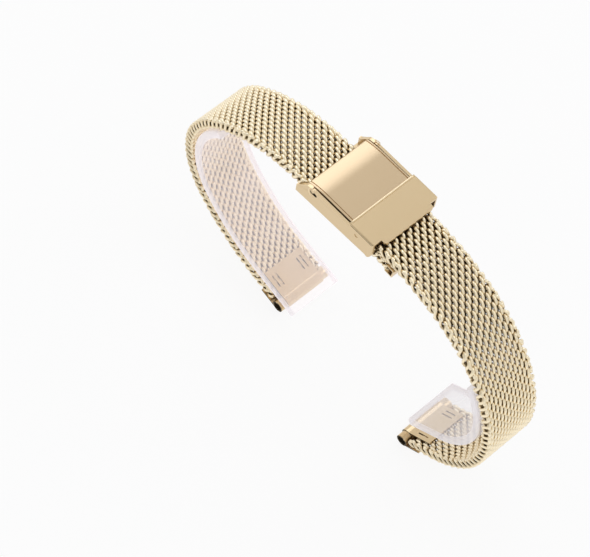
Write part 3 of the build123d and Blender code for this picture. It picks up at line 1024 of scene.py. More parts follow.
@dataclass
class ClearStrip:
    """A clear plastic strip along the inside of a strap: a rectangle with round corners carried along a line."""

    thickness: float = 1.4 * MM
    width: float = 9.6 * MM
    corner: float = 0.32 * MM
    rim: float = 0.12 * MM
    corner_steps: int = 5
    step: float = 0.35 * MM
    sharp: float = radians(40.0)

    def section(self) -> np.ndarray:
        """Corners of the section: four quarter circles joined by straights, as across and height pairs.

        Returns:
            Table of corners, one row of across and height each.
        """
        turn = np.linspace(0.0, pi / 2, self.corner_steps)
        rows = []
        half_width, half_height = self.width / 2 - self.corner, self.thickness / 2 - self.corner
        for quarter, (a, b) in enumerate([(1, 1), (-1, 1), (-1, -1), (1, -1)]):
            angle = turn + quarter * pi / 2
            rows.append(
                np.stack([a * half_width + self.corner * np.cos(angle),
                          b * half_height + self.corner * np.sin(angle)], axis=-1)
            )
        return np.concatenate(rows)

    def build(self, name: str, line: Centreline, first: float, last: float, height: float,
              finishes: list[bpy.types.Material], ends: tuple[bool, bool]) -> bpy.types.Object:
        """Carry the section along the line.

        Args:
            name: Name of the piece.
            line: Line to follow.
            first: Distance at which the piece starts.
            last: Distance at which it ends.
            height: Height of the section's middle over the line.
            finishes: Clear finish of the two broad sides, that of the seams and the milkier one of the edges.
            ends: Whether the first and the last end face are real ends, which are rounded and show.

        Returns:
            The new object.
        """
        section = self.section()
        count = max(3, int(round((last - first) / self.step)) + 1)
        places = np.linspace(first, last, count)
        scale = np.ones(count)
        if ends[0]:
            places = np.concatenate([[first], [first + self.rim], places[1:]])
            scale = np.concatenate([[0.0], [1.0], scale[1:]])
        if ends[1]:
            places = np.concatenate([places[:-1], [last - self.rim], [last]])
            scale = np.concatenate([scale[:-1], [1.0], [0.0]])
        across, rise = np.moveaxis(section - np.sign(section) * self.rim * (1 - scale[:, None, None]), -1, 0)
        along = np.broadcast_to(places[:, None], across.shape)
        points = line.place(along.ravel(), across.ravel(), (height + rise).ravel())
        faces = outward_faces(points, tube_faces(len(places), len(section)))
        strip = mesh_object(name, points, faces, finishes)
        side = np.arange(len(strip.data.polygons)) % len(section)
        broad = [self.corner_steps - 1, 3 * self.corner_steps - 1]
        chosen = np.where(np.isin(side, broad), 0, 2)
        chosen[-2:] = [2 if ends[0] else 1, 2 if ends[1] else 1]
        strip.data.polygons.foreach_set("material_index", chosen.astype(np.int32))
        strip.data.set_sharp_from_angle(angle=self.sharp)
        return strip


@dataclass
class StripSet:
    """The clear strips of both straps, cut into lengths."""

    lines: BandLines
    finishes: list[bpy.types.Material]
    free_finishes: list[bpy.types.Material]
    strip: ClearStrip = field(default_factory=ClearStrip)
    gap: float = 0.40 * MM
    long_lip: float = 1.6 * MM
    short_lip: float = 6.5 * MM
    tube_reach: float = 2.02 * MM
    hug_share: float = 0.2
    curl_radius: float = 12.7 * MM
    curl_turn: float = radians(76.0)
    short_start_share: float = 0.55
    blend_margin: float = 0.3 * MM
    lead_margin: float = 0.1 * MM

    def level(self) -> float:
        """Height of the strip's middle over the strap's centreline."""
        return -self.lines.sizes.thickness / 2 - self.gap - self.strip.thickness / 2

    def dress(self) -> None:
        """Build every length of both strips."""
        self._long()
        self._short()

    def _long(self) -> None:
        """Strip of the long strap, from its third knuckle to past its lug tube."""
        marks = self.lines.long_knuckles
        line = self.lines.long
        end = marks[-1] + self.lines.sizes.lug_strap + self.tube_reach + self.long_lip
        cuts = [marks[2]] + middles(marks)[3:] + [end]
        for index, mark in enumerate(marks[3:]):
            real = (index == 0, index == len(cuts) - 2)
            name = f"long_clear_{index + 1:02d}"
            piece = self.strip.build(
                name, line, cuts[index], cuts[index + 1], self.level(), self.finishes, real
            )
            nodes = ["long_strip_01", "long_strip_02"] if index == 0 else [f"long_strip_{index + 2:02d}"]
            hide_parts(*nodes)
            reach = min(mark - cuts[index], cuts[index + 1] - mark) - self.blend_margin
            line.point(mark - reach, self.level())
            line.point(mark + reach, self.level())
            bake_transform(piece)
            log.info("%s: %d corners", name, len(piece.data.vertices))

    def _short(self) -> None:
        """Strip of the short strap: it lies on two lengths, then springs away in a curl with a straight lip."""
        marks = self.lines.short_knuckles
        line = self.lines.short
        mark = marks[4]
        leave = mark + (marks[5] - mark) * self.hug_share
        begin = marks[3] + (mark - marks[3]) * self.short_start_share
        lead = self.strip.build(
            "short_clear_01", line, begin, leave, self.level(), self.free_finishes, (True, False)
        )
        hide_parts("short_strip_01")
        reach = leave - mark - self.lead_margin
        line.point(mark - reach, self.level())
        line.point(mark + reach, self.level())
        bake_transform(lead)
        start = line.point(leave, self.level())
        ahead = line.point(leave + NEAR, self.level()) - start
        heading = atan2(ahead[2], ahead[0])
        curl = Arc((start[0], start[2]), heading, -1 / self.curl_radius, self.curl_radius * self.curl_turn)
        tip = Centreline([curl], Side.SHORT, 0.0, 0.0).point(curl.length)
        lip = Arc((tip[0], tip[2]), curl.end_heading(), 0.0, self.short_lip)
        free = Centreline([curl, lip], Side.SHORT, self.lines.across, 0.0)
        flap = self.strip.build(
            "short_clear_02", free, 0.0, free.finish, 0.0, self.free_finishes, (False, True)
        )
        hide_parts("short_strip_02")
        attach(flap, "short_05")
        log.info("short_clear_01, short_clear_02: %d corners", len(lead.data.vertices) + len(flap.data.vertices))


def round_edges(piece: bpy.types.Object, bevel: float, segments: int) -> None:
    """Round every sharp edge, then give each corner the normal of the largest faces round it.

    Args:
        piece: Piece to finish; its last material, the painted edge highlight, goes on the rounded edges.
        bevel: Width of the rounding.
        segments: Steps of the rounding.
    """
    rounding = piece.modifiers.new("rounded_edges", "BEVEL")
    rounding.width = bevel
    rounding.segments = segments
    rounding.limit_method = "ANGLE"
    rounding.angle_limit = SHARP
    rounding.material = len(piece.data.materials) - 1
    levelled = piece.modifiers.new("flat_faces", "WEIGHTED_NORMAL")
    levelled.weight = 100
    levelled.keep_sharp = True


@dataclass
class SheetPiece:
    """A sheet metal piece whose sharp edges are rounded: its solid's shape, merged and bevelled."""

    node: str
    body: str
    bevel: float
    segments: int = 2

    def merged(self) -> bmesh.types.BMesh:
        """Copy the node's shape with its corners merged and its flat faces joined.

        Returns:
            The merged shape.
        """
        shape = bmesh.new()
        shape.from_mesh(frame["nodes"][self.node].data)
        bmesh.ops.remove_doubles(shape, verts=shape.verts, dist=MERGED)
        bmesh.ops.dissolve_limit(shape, angle_limit=FLAT, verts=shape.verts, edges=shape.edges)
        return shape

    def build(self, finishes: list[bpy.types.Material]) -> bpy.types.Object:
        """Build the piece with rounded edges.

        Args:
            finishes: Finish of the sheet, the painted shade inside its holes, and the painted highlight of its
                edges.

        Returns:
            The new object, riding on its body.
        """
        shape = self.merged()
        self.reshape(shape)
        for face in shape.faces:
            face.smooth = True
            # Faces inside holes take the second material, the painted shade.
            face.material_index = int(self.hidden(face.calc_center_median()))
        mesh = bpy.data.meshes.new(self.node + "_dressed")
        shape.to_mesh(mesh)
        shape.free()
        for finish in finishes:
            mesh.materials.append(finish)
        piece = bpy.data.objects.new(self.node + "_dressed", mesh)
        bpy.context.scene.collection.objects.link(piece)
        round_edges(piece, self.bevel, self.segments)
        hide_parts(self.node)
        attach(piece, self.body)
        return piece

    def reshape(self, shape: bmesh.types.BMesh) -> None:
        """Change the merged shape before its edges are rounded; a plain piece keeps it."""

    def hidden(self, place: Vector) -> bool:
        """Whether a face at a place lies inside a hole, which gets painted shade; a plain piece has none."""
        return False


@dataclass
class LugSleeve(SheetPiece):
    """Lug end of a strap, with painted shade in its tube's bore."""

    mount: str = ""
    bore: float = 0.80 * MM
    bore_margin: float = 0.024 * MM

    def hidden(self, place: Vector) -> bool:
        """Whether a face lies in the bore: nearer to the mount's axis than the wall of the tube."""
        centre = Vector(MOUNTS[self.mount]["pos_m"])
        return hypot(place[0] - centre[0], place[2] - centre[2]) < self.bore + self.bore_margin


class ClaspFrame:
    """Directions along and up the clasp, with the lever's pin as the zero point."""

    def __init__(self) -> None:
        """Read the pin's place and the slide's axis from the frame."""
        slide = JOINTS["long_strap_slide"]["axis"]
        self.pin = Vector(JOINTS["lever_hinge"]["pos_m"])
        self.along = Vector(slide)
        self.up = Vector((-slide[2], 0.0, slide[0]))

    def local(self, place: Vector) -> tuple[float, float]:
        """Distances of one place along and up from the pin."""
        offset = place - self.pin
        return offset.dot(self.along), offset.dot(self.up)

    def spread(self, places: np.ndarray) -> tuple[np.ndarray, np.ndarray]:
        """Distances along and up from the pin, for rows of places."""
        offset = places - np.array(self.pin)
        return offset @ np.array(self.along), offset @ np.array(self.up)

    def moves(self, along: np.ndarray, up: np.ndarray) -> np.ndarray:
        """Rows of movements in space from movements along and up."""
        return along[:, None] * np.array(self.along) + up[:, None] * np.array(self.up)

    def points(self, along: np.ndarray, up: np.ndarray, across: np.ndarray) -> np.ndarray:
        """Points in space from distances along, up and across from the pin."""
        base = np.array(self.pin)[None] + along[:, None] * np.array(self.along)[None]
        return base + up[:, None] * np.array(self.up)[None] + across[:, None] * ACROSS[None]

    def slab(self, outline: np.ndarray, outer: float, inner: float) -> Shape:
        """Flat plate with an outline of along and up pairs, between two distances across.

        Args:
            outline: Corners of the outline, one row each.
            outer: Distance across of one face.
            inner: Distance across of the other.

        Returns:
            Corners and face tables of the plate.
        """
        both = np.concatenate([outline, outline])
        layers = np.repeat([outer, inner], len(outline))
        return self.points(both[:, 0], both[:, 1], layers), tube_faces(2, len(outline))


CLASP = ClaspFrame()


@dataclass
class ClaspBox(SheetPiece):
    """The clasp's folded sheet: its lower folds are wide and its lower right corners are cut round."""

    pin_from_tip: float = 2.95 * MM
    pin_over_floor: float = 3.19 * MM
    length: float = 15.4 * MM
    half_width: float = 6.35 * MM
    solid_fold: float = 0.25 * MM
    fold: float = 1.10 * MM
    fold_facing: tuple[float, float] = (0.6, 1.0)
    solid_corners: tuple[float, float] = (0.7 * MM, 1.4 * MM)
    corner: float = 2.5 * MM
    slot_length: float = 0.70 * MM
    slot_radius: float = 0.36 * MM
    wall: float = 0.5 * MM
    bridge_low: float = 1.10 * MM
    apron_half: float = 4.75 * MM
    apron_reach: float = 0.88 * MM
    apron_corner: float = 0.50 * MM
    apron_steps: int = 5

    def run_and_rise(self, places: np.ndarray) -> tuple[np.ndarray, np.ndarray]:
        """Distances of the corners from the clasp's left end and over its floor."""
        along, up = CLASP.spread(places)
        return along + self.pin_from_tip, up + self.pin_over_floor

    def reshape(self, shape: bmesh.types.BMesh) -> None:
        """Widen the lower folds, lift the lower right corner on to a larger arc and draw the bridge out.

        Args:
            shape: The merged shape.
        """
        mesh = bpy.data.meshes.new("folds")
        shape.to_mesh(mesh)
        places = np.empty(3 * len(mesh.vertices), np.float32)
        mesh.vertices.foreach_get("co", places)
        places = self.round_off(self.widen_folds(places.reshape(-1, 3).astype(float)))
        mesh.vertices.foreach_set("co", places.astype(np.float32).ravel())
        shape.clear()
        shape.from_mesh(mesh)
        bpy.data.meshes.remove(mesh)
        self.draw_out(shape)

    def widen_folds(self, places: np.ndarray) -> np.ndarray:
        """Move the corners of the solid's narrow lower folds to the wide ones.

        A corner that lies u in from the side face and d in from the outline is on a fold where u is less
        than its radius; both distances grow by the same factor. The factor is the full one where the outline
        faces down and 1 where it faces along the clasp. A corner at the fold's upper end, on the side face,
        also rises by what the fold gains.

        Args:
            places: Corners of the mesh, one row each.

        Returns:
            The corners after the move.
        """
        left, right = self.solid_corners
        run, rise = self.run_and_rise(places)
        inset = self.half_width - np.abs(places[:, 1])
        on_fold = (inset < self.solid_fold + NEAR) & (rise < right)
        at_right = run > self.length - right
        at_left = (run < left) & (rise < left)
        level = np.select([at_right, at_left], [run - self.length + right, run - left], 0.0)
        upward = np.select([at_right, at_left], [rise - right, rise - left], -1.0)
        facing = unit(np.stack([level, upward], axis=-1))
        depth = self.solid_fold - np.sqrt(np.maximum(self.solid_fold**2 - (self.solid_fold - inset) ** 2, 0.0))
        low, high = self.fold_facing
        share = smooth_step((-facing[:, 1] - low) / (high - low)) * on_fold
        grow = (self.fold / self.solid_fold - 1) * share
        lift = self.solid_fold * ((inset < MERGED) & (rise < self.solid_fold + NEAR))
        moved = places + CLASP.moves(-facing[:, 0] * depth * grow, (lift - facing[:, 1] * depth) * grow)
        moved[:, 1] -= np.sign(places[:, 1]) * inset * grow
        return moved

    def round_off(self, places: np.ndarray) -> np.ndarray:
        """Lift the corners of the mesh on to the larger arc at the lower right.

        The arc has the radius r round (length - r, r), so no corner stays lower than
        r - sqrt(r^2 - (along - length + r)^2).

        Args:
            places: Corners of the mesh, one row each.

        Returns:
            The corners after the lift.
        """
        run, rise = self.run_and_rise(places)
        past = run - self.length + self.corner
        lowest = self.corner - np.sqrt(np.maximum(self.corner**2 - past**2, 0.0))
        lift = np.where((past > 0) & (rise < self.corner), np.maximum(lowest - rise, 0.0), 0.0)
        return places + CLASP.moves(np.zeros(len(places)), lift)

    def draw_out(self, shape: bmesh.types.BMesh) -> None:
        """Draw the middle of the bridge's right end out over the short strap, with two round corners.

        Args:
            shape: The merged shape.
        """
        for side in (1, -1):
            everything = list(shape.verts) + list(shape.edges) + list(shape.faces)
            bmesh.ops.bisect_plane(
                shape, geom=everything, plane_co=(0.0, side * self.apron_half, 0.0), plane_no=tuple(ACROSS)
            )
        shape.normal_update()
        ends = [
            face for face in shape.faces
            if face.normal.dot(CLASP.along) > SAME_WAY
            and abs(face.calc_center_median().y) < self.apron_half
            and CLASP.local(face.calc_center_median())[1] > self.bridge_low
        ]
        drawn = bmesh.ops.extrude_face_region(shape, geom=ends)["geom"]
        bmesh.ops.delete(shape, geom=ends, context="FACES_ONLY")
        tips = [part for part in drawn if isinstance(part, bmesh.types.BMVert)]
        bmesh.ops.translate(shape, verts=tips, vec=CLASP.along * self.apron_reach)
        corners = [
            edge for edge in shape.edges
            if all(tip in tips for tip in edge.verts)
            and abs((edge.verts[0].co - edge.verts[1].co).normalized().y) < CROSSWAYS
            and abs(abs(edge.verts[0].co.y) - self.apron_half) < NEAR
        ]
        bmesh.ops.bevel(
            shape, geom=corners, offset=self.apron_corner, segments=self.apron_steps, profile=0.5, affect="EDGES"
        )
        bmesh.ops.recalc_face_normals(shape, faces=shape.faces)

    def hidden(self, place: Vector) -> bool:
        """Whether a face lies in the pin's slot: nearer to the slot's middle line than its radius.

        Args:
            place: Middle of the face.

        Returns:
            True inside the slot.
        """
        along, up = CLASP.local(place)
        beyond = along - min(max(along, 0.0), self.slot_length)
        return hypot(beyond, up) < self.slot_radius and abs(place.y) > self.half_width - self.wall


@dataclass
class ClaspCheeks:
    """Two small blocks inside the tips of the clasp's walls, which fill up to the folded end of the lever."""

    half_width: float = 6.34 * MM
    thickness: float = 0.56 * MM
    bevel: float = 0.05 * MM
    outline: tuple[tuple[float, float], ...] = (
        (-2.75 * MM, -2.60 * MM),
        (-0.42 * MM, -2.60 * MM),
        (-0.42 * MM, 0.44 * MM),
        (-0.10 * MM, 0.50 * MM),
        (-0.10 * MM, 0.76 * MM),
        (-0.60 * MM, 0.68 * MM),
        (-1.00 * MM, 0.56 * MM),
        (-1.30 * MM, 0.38 * MM),
        (-1.55 * MM, 0.02 * MM),
        (-2.75 * MM, -1.35 * MM),
    )

    def build(self, finishes: list[bpy.types.Material]) -> bpy.types.Object:
        """Build both blocks: the outline in two layers on each side.

        Args:
            finishes: Finish of the sheet, the painted shade inside its holes, and the painted highlight of its
                edges.

        Returns:
            The new object, riding on the clasp.
        """
        outline = np.array(self.outline)
        blocks = [
            CLASP.slab(outline, side * self.half_width, side * self.half_width - side * self.thickness)
            for side in (1, -1)
        ]
        piece = mesh_object("clasp_cheeks", *put_together(blocks), finishes)
        piece.data.set_sharp_from_angle(angle=SHARP)
        round_edges(piece, self.bevel, segments=3)
        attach(piece, "clasp")
        return piece


@dataclass
class ClaspBeads:
    """Fine round beads on the clasp, bright with a painted highlight: along the bridge's edge over the lever, and
    round the pin on each wall.

    A thin dark line of painted shade marks the crease under each side of the bridge.
    """

    edge_along: float = 7.69 * MM
    edge_up: float = 1.42 * MM
    edge_half: float = 6.12 * MM
    edge_radius: float = 0.16 * MM
    pin_middle: float = 0.35 * MM
    ring_radius: float = 1.00 * MM
    ring_bead: float = 0.07 * MM
    ring_across: float = 6.33 * MM
    ring_from: float = radians(72.0)
    ring_until: float = radians(262.0)
    crease_from: float = 7.75 * MM
    crease_until: float = 12.2 * MM
    crease_up: float = 1.17 * MM
    crease_across: float = 6.335 * MM
    crease_radius: float = 0.045 * MM
    steps: int = 28
    sides: int = 10

    def rod(self, line: np.ndarray, level: np.ndarray, radius: float) -> Shape:
        """A round bead along a line.

        Each ring lies at the radius from the line, in the plane of the level direction and of the cross
        product of that with the line's own direction; the first and last rings are half as wide.

        Args:
            line: Places of the bead's middle, one row each.
            level: Direction square to the line all along it.
            radius: Radius of the bead.

        Returns:
            Corners and face tables of the bead.
        """
        beside = np.cross(unit(np.gradient(line, axis=0)), level[None])
        width = np.full(len(line), radius)
        width[[0, -1]] = radius / 2
        corners = rings_round(line, np.broadcast_to(level, line.shape), beside, width, self.sides)
        return corners.reshape(-1, 3), tube_faces(len(line), self.sides)

    def build(self, finishes: list[bpy.types.Material]) -> bpy.types.Object:
        """Build the beads as one piece.

        Args:
            finishes: Finish of the sheet, the painted shade inside its holes, and the painted highlight of its
                edges.

        Returns:
            The new object, riding on the clasp.
        """
        even = np.ones(self.steps)
        across = np.linspace(-self.edge_half, self.edge_half, self.steps)
        angle = np.linspace(self.ring_from, self.ring_until, self.steps)
        ring_along = self.pin_middle + self.ring_radius * np.cos(angle)
        ring_up = self.ring_radius * np.sin(angle)
        run = np.linspace(self.crease_from, self.crease_until, self.steps)
        edge = CLASP.points(self.edge_along * even, self.edge_up * even, across)
        rings = [CLASP.points(ring_along, ring_up, side * self.ring_across * even) for side in (1, -1)]
        creases = [CLASP.points(run, self.crease_up * even, side * self.crease_across * even) for side in (1, -1)]
        rods = [self.rod(edge, np.array(CLASP.up), self.edge_radius)]
        rods += [self.rod(ring, ACROSS, self.ring_bead) for ring in rings]
        rods += [self.rod(crease, ACROSS, self.crease_radius) for crease in creases]
        piece = mesh_object("clasp_beads", *put_together(rods), finishes[::-1])
        each = (self.steps - 1) * self.sides + 2
        bright = (len(rods) - len(creases)) * each
        # The crease rods take the painted shade finish, the other beads the painted edge highlight.
        crease_shade = (np.arange(len(piece.data.polygons)) >= bright).astype(np.int32)
        piece.data.polygons.foreach_set("material_index", crease_shade)
        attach(piece, "clasp")
        return piece


@dataclass
class LeverCover:
    """The locking lever: a cover plate with two fine grooves, folded down over its pin, and two skirts.

    The plate's section is carried along a path: flat from its free end, then an easy slope drawn as a piece of
    a wide circle, a tight fold, and the turned-down lip.
    """

    end: float = 7.41 * MM
    half_width: float = 5.74 * MM
    top: float = 0.93 * MM
    plate: float = 0.40 * MM
    nose: float = 1.40 * MM
    slope: float = 3.4 * MM
    slope_turn: float = radians(17.0)
    slope_steps: int = 9
    fold: float = 0.34 * MM
    fold_steps: int = 9
    fold_share: float = 0.75
    lip: float = 0.42 * MM
    lip_turn: float = radians(100.0)
    groove_inset: float = 0.36 * MM
    groove_width: float = 0.20 * MM
    groove_depth: float = 0.15 * MM
    groove_floor: float = 0.6
    rim: float = 0.07 * MM
    rim_share: float = 0.3
    skirt_start: float = 0.9 * MM
    skirt_low: float = -0.68 * MM
    skirt: float = 0.35 * MM
    skirt_inset: float = 0.02 * MM
    skirt_root: float = 0.9
    skirt_steps: int = 6
    bevel: float = 0.03 * MM

    def path(self) -> tuple[np.ndarray, np.ndarray]:
        """Line of the plate's outer face and the plate's direction at each step.

        The heading starts at half a turn, along the flat; it grows evenly by the slope's turn over the slope,
        then evenly to the lip's direction round the fold. Places are the running sum of the steps taken
        along the mean heading of each step.

        Returns:
            Places as along and up pairs, and the heading at each place.
        """
        slope_headings = np.linspace(0.0, self.slope_turn, self.slope_steps + 1)
        fold_headings = np.linspace(self.slope_turn, self.lip_turn, self.fold_steps + 1)[1:]
        headings = pi + np.concatenate([[0.0], slope_headings, fold_headings, [self.lip_turn]])
        fold_step = self.fold * (self.lip_turn - self.slope_turn) / self.fold_steps
        steps = np.concatenate(
            [[0.0], np.full(self.slope_steps, self.slope / self.slope_steps),
             np.full(self.fold_steps, fold_step), [self.lip]]
        )
        mean = (headings[:-1] + headings[1:]) / 2
        rest_x = np.cumsum(steps * np.cos(mean))
        rest_z = np.cumsum(steps * np.sin(mean))
        start = -self.nose - rest_x.min()
        x = np.concatenate([[self.end, start], start + rest_x[1:]])
        z = self.top + np.concatenate([[0.0, 0.0], rest_z[1:]])
        return np.stack([x, z], axis=-1), headings

    def section(self) -> np.ndarray:
        """Corners of the plate's section as across and depth pairs: two grooves above, plain below.

        A groove's floor is a fixed share of its width, and the plate's top edges are cut off by the rim.

        Returns:
            Table of corners, one row of across and depth each.
        """
        w, g, h, rim = self.half_width, self.groove_inset, self.groove_width / 2, self.rim
        floor, cut = h * self.groove_floor, rim * self.rim_share
        right = [
            (w - g - h, 0.0), (w - g - floor, self.groove_depth), (w - g + floor, self.groove_depth),
            (w - g + h, 0.0), (w - rim, 0.0), (w - cut, cut), (w, rim), (w, self.plate),
        ]
        left = [(-across, depth) for across, depth in right[::-1]]
        return np.array(left + right)

    def build(self, finishes: list[bpy.types.Material]) -> bpy.types.Object:
        """Build the plate and both skirts as one piece.

        Args:
            finishes: Finish of the sheet, the painted shade inside its holes, and the painted highlight of its
                edges.

        Returns:
            The new object, riding on the lever's body.
        """
        line, headings = self.path()
        section = self.section()
        thin = np.where(headings > pi + self.slope_turn, self.fold_share, 1.0)
        depth = np.where(section[None, :, 1] > self.rim, thin[:, None], 1.0) * section[None, :, 1]
        inward = headings + pi / 2
        along = line[:, 0:1] + depth * np.cos(inward)[:, None]
        up = line[:, 1:2] + depth * np.sin(inward)[:, None]
        across = np.broadcast_to(section[None, :, 0], along.shape)
        parts = [(CLASP.points(along.ravel(), up.ravel(), across.ravel()), tube_faces(len(line), len(section)))]
        low, high = self.skirt_low, self.top - self.plate * self.skirt_root
        turn = np.linspace(-pi / 2, 0.0, self.skirt_steps)
        corner = [self.end - self.skirt + self.skirt * np.cos(turn), low + self.skirt + self.skirt * np.sin(turn)]
        outline = np.concatenate(
            [[[self.skirt_start, high], [self.skirt_start, low]], np.stack(corner, axis=-1), [[self.end, high]]]
        )
        for side in (1, -1):
            outer = side * (self.half_width - self.skirt_inset)
            parts.append(CLASP.slab(outline, outer, outer - side * self.skirt))
        piece = mesh_object("lock_lever_dressed", *put_together(parts), finishes)
        piece.data.set_sharp_from_angle(angle=SHARP)
        round_edges(piece, self.bevel, segments=2)
        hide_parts("lock_lever")
        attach(piece, "lever")
        return piece


@dataclass
class Clasp:
    """The clasp and the sheet ends of both straps."""

    finishes: list[bpy.types.Material]
    lever_sheet: bpy.types.Material

    def dress(self) -> None:
        """Build every sheet and pin piece; the lever takes a dimmed copy of the sheet finish, as painted shade."""
        pieces = [
            ClaspBox("clasp_box", "clasp", bevel=0.18 * MM, segments=4),
            ClaspCheeks(),
            ClaspBeads(),
            LeverCover(),
            SheetPiece("lever_pin", "lever", bevel=0.05 * MM),
            SheetPiece("catch_bar", "clasp", bevel=0.05 * MM),
            SheetPiece("short_strap_hook", "short_01", bevel=0.05 * MM),
            SheetPiece("tail_cap", "tail", bevel=0.04 * MM),
            LugSleeve("long_lug_sleeve", "long_lug", bevel=0.04 * MM, mount="long_lug_bore"),
            LugSleeve("short_lug_sleeve", "short_lug", bevel=0.04 * MM, mount="short_lug_bore"),
        ]
        for part in pieces:
            own = [self.lever_sheet] + self.finishes[1:] if isinstance(part, LeverCover) else self.finishes
            piece = part.build(own)
            log.info("%s: %d corners", piece.name, len(piece.data.vertices))


@dataclass(frozen=True)
class SoftBox:
    """A square lamp that shines on the band."""

    name: str
    place: tuple[float, float, float]
    size: float
    brightness: float
    tint: tuple[float, float, float] = (1.0, 1.0, 1.0)

    def build(self, target: Vector) -> None:
        """Hang the lamp so that it faces the target.

        A flat lamp of area A that looks as bright as b gives off pi*A*b watts.

        Args:
            target: Place that the lamp shines at.
        """
        lamp = bpy.data.lights.new(self.name, "AREA")
        lamp.size = self.size
        lamp.color = self.tint
        lamp.energy = pi * self.size * self.size * self.brightness
        holder = bpy.data.objects.new(self.name, lamp)
        holder.location = self.place
        holder.rotation_euler = (target - Vector(self.place)).to_track_quat("-Z", "Y").to_euler()
        bpy.context.scene.collection.objects.link(holder)


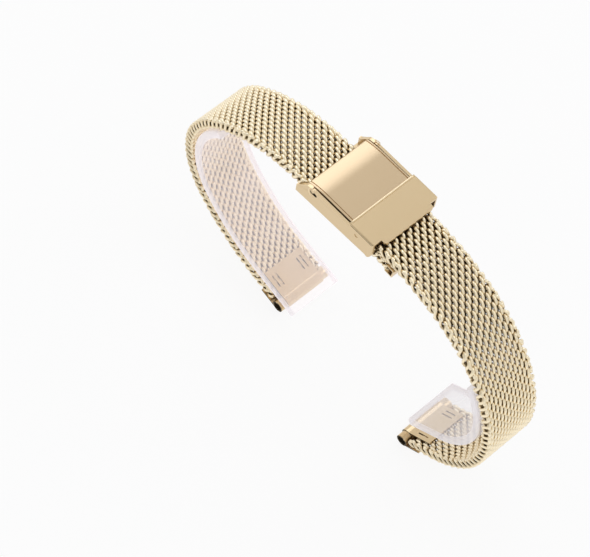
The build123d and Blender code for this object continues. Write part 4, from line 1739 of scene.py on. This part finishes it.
@dataclass
class Studio:
    """Floor, soft lamps and the camera at the photograph's angle."""

    azimuth: float = radians(-30.21)
    elevation: float = radians(63.10)
    roll: float = radians(19.56)
    distance: float = 330.0 * MM
    target: tuple[float, float, float] = (2.70 * MM, -21.97 * MM, 50.50 * MM)
    focal_pixels: float = 2471.2
    image_width: float = 590.0
    sensor: float = 36.0
    nearest: float = 10.0 * MM
    floor_size: float = 4.0
    floor_share: float = 0.12
    paper: Colour = (0.9, 0.9, 0.9, 1.0)
    paper_rough: float = 0.9
    lamps: tuple[SoftBox, ...] = (
        SoftBox("left_box", (-0.55, 0.25, 0.45), size=0.45, brightness=1.35, tint=(0.93, 1.0, 1.16)),
        SoftBox("back_box", (0.15, 0.75, 0.60), size=0.50, brightness=1.3),
        SoftBox("front_box", (0.35, -0.70, 0.55), size=0.40, brightness=0.9),
    )
    lamp_target: tuple[float, float, float] = (0.0, 0.0, 0.02)
    patch: tuple[float, float, float] = (0.0, -0.92, 0.39)
    patch_levels: tuple[float, float, float, float] = (0.80, 0.98, 0.75, 0.30)

    def build(self) -> None:
        """Make the floor, lamps, world and camera."""
        self._floor()
        self._lamps()
        self._world()
        self._camera()
        bpy.context.scene.view_settings.view_transform = "Standard"

    def _floor(self) -> None:
        """A pale floor that shows white to the camera and keeps a faint shadow."""
        graph = NodeGraph("paper_floor", {"Base Color": self.paper, "Roughness": self.paper_rough})
        path = graph.add("LightPath")
        seen = path.outputs["Is Camera Ray"]
        for ray in ("Is Glossy Ray", "Is Transmission Ray"):
            either = graph.add("Math", operation="MAXIMUM")
            graph.link(seen, either.inputs[0])
            graph.link(path.outputs[ray], either.inputs[1])
            seen = either.outputs["Value"]
        share = graph.add("Math", operation="MULTIPLY")
        share.inputs[1].default_value = 1 - self.floor_share
        graph.link(seen, share.inputs[0])
        glow = graph.add("Emission", {"Color": PAPER_WHITE, "Strength": 1.0})
        mix = graph.add("MixShader")
        graph.link(share.outputs["Value"], mix.inputs["Fac"])
        graph.link(graph.shader.outputs["BSDF"], mix.inputs[1])
        graph.link(glow.outputs["Emission"], mix.inputs[2])
        graph.link(mix.outputs["Shader"], graph.tree.nodes["Material Output"].inputs["Surface"])
        half = self.floor_size / 2
        corners = np.array([[-half, -half, 0.0], [half, -half, 0.0], [half, half, 0.0], [-half, half, 0.0]])
        floor = mesh_object("floor", corners, [np.array([[0, 1, 2, 3]])], [graph.material])

    def _lamps(self) -> None:
        """Large soft boxes: one high on the long strap's side, one behind and a weak one in front."""
        for box in self.lamps:
            box.build(Vector(self.lamp_target))

    def _world(self) -> None:
        """Even pale light from all round but for a dark patch low in front; the camera sees white."""
        world = bpy.data.worlds.new("studio_air")
        world.use_nodes = True
        tree = world.node_tree
        background = tree.nodes["Background"]
        background.inputs["Color"].default_value = PAPER_WHITE
        towards = tree.nodes.new("ShaderNodeTexCoord")
        nearness = tree.nodes.new("ShaderNodeVectorMath")
        nearness.operation = "DOT_PRODUCT"
        nearness.inputs[1].default_value = self.patch
        tree.links.new(towards.outputs["Generated"], nearness.inputs[0])
        level = tree.nodes.new("ShaderNodeMapRange")
        level.interpolation_type = "SMOOTHSTEP"
        for key, value in zip(("From Min", "From Max", "To Min", "To Max"), self.patch_levels):
            level.inputs[key].default_value = value
        tree.links.new(nearness.outputs["Value"], level.inputs["Value"])
        path = tree.nodes.new("ShaderNodeLightPath")
        seen = tree.nodes.new("ShaderNodeMix")
        seen.inputs["B"].default_value = 1.0
        tree.links.new(path.outputs["Is Camera Ray"], seen.inputs["Factor"])
        tree.links.new(level.outputs["Result"], seen.inputs["A"])
        tree.links.new(seen.outputs["Result"], background.inputs["Strength"])
        bpy.context.scene.world = world

    def _camera(self) -> None:
        """Camera on a line at the given azimuth and elevation through the target, rolled about it."""
        a, e, r = self.azimuth, self.elevation, self.roll
        ahead = Vector((sin(a) * cos(e), cos(a) * cos(e), -sin(e)))
        level = Vector((cos(a), -sin(a), 0.0))
        above = level.cross(ahead)
        right = cos(r) * level + sin(r) * above
        up = -sin(r) * level + cos(r) * above
        place = Vector(self.target) - self.distance * ahead
        lens = bpy.data.cameras.new("photo_camera")
        lens.sensor_width = self.sensor
        lens.lens = self.focal_pixels * self.sensor / self.image_width
        lens.clip_start = self.nearest
        camera = bpy.data.objects.new("photo_camera", lens)
        turn = Matrix((right, up, -ahead)).transposed().to_4x4()
        camera.matrix_world = Matrix.Translation(place) @ turn
        bpy.context.scene.collection.objects.link(camera)
        bpy.context.scene.camera = camera


def main() -> None:
    """Build the band piece by piece, then the studio."""
    logging.basicConfig(level=logging.INFO, format="%(message)s")
    wire = WireFinish().material()
    sheet = SheetFinish().material()
    seam = SeamFinish().material()
    # Each clear finish has its own painted glow: stronger on the long strip, which lies in the loop's shade,
    # weaker on the short strip.
    milky = ClearFinish("milky_edge", (0.88, 0.84, 0.88, 1.0), painted_glow_strength=0.24, face_on=0.66, slanting=0.80)
    free = ClearFinish("clear_flap", (0.82, 0.79, 0.81, 1.0), painted_glow_strength=0.13, face_on=0.17, slanting=0.50)
    rim = ClearFinish("flap_edge", (0.87, 0.84, 0.87, 1.0), painted_glow_strength=0.15, face_on=0.60, slanting=0.80)
    clear = [ClearFinish().material(), seam, milky.material()]
    flap = [free.material(), seam, rim.material()]
    # A dimmed copy of the sheet finish paints shade on the lever.
    shaded_lever_finish = SheetFinish("lever_sheet", (0.655, 0.50, 0.315, 1.0), (0.64, 0.485, 0.30, 1.0))
    metal = [sheet, BoreShade().material(), EdgeHighlight().material()]
    sizes = StrapSizes()
    lines = BandLines(sizes)
    long_end = lines.long_knuckles[-1] + sizes.lug_strap
    short_end = lines.short_knuckles[-1] + sizes.lug_strap
    short_coil = Coil(reach=0.72 * MM, rise=0.63 * MM, wire=0.26 * MM, ease=0.6, slant=-1)
    straps = (
        (lines.long, sizes.long_pitch, long_end, Coil(slant=1), long_pieces),
        (lines.short, sizes.short_pitch, short_end, short_coil, short_pieces),
    )
    for line, pitch, end, coil, pieces in straps:
        crimp = Crimp(begin=end - sizes.tongue, outer_begin=end - sizes.back_plate)
        last = end - coil.reach - coil.wire + pitch / 2
        WovenStrap(line, coil, pitch, crimp, wire, pieces(lines, last)).dress()
    StripSet(lines, clear, flap).dress()
    Clasp(metal, shaded_lever_finish.material()).dress()
    Studio().build()


if __name__ == "__main__":
    main()
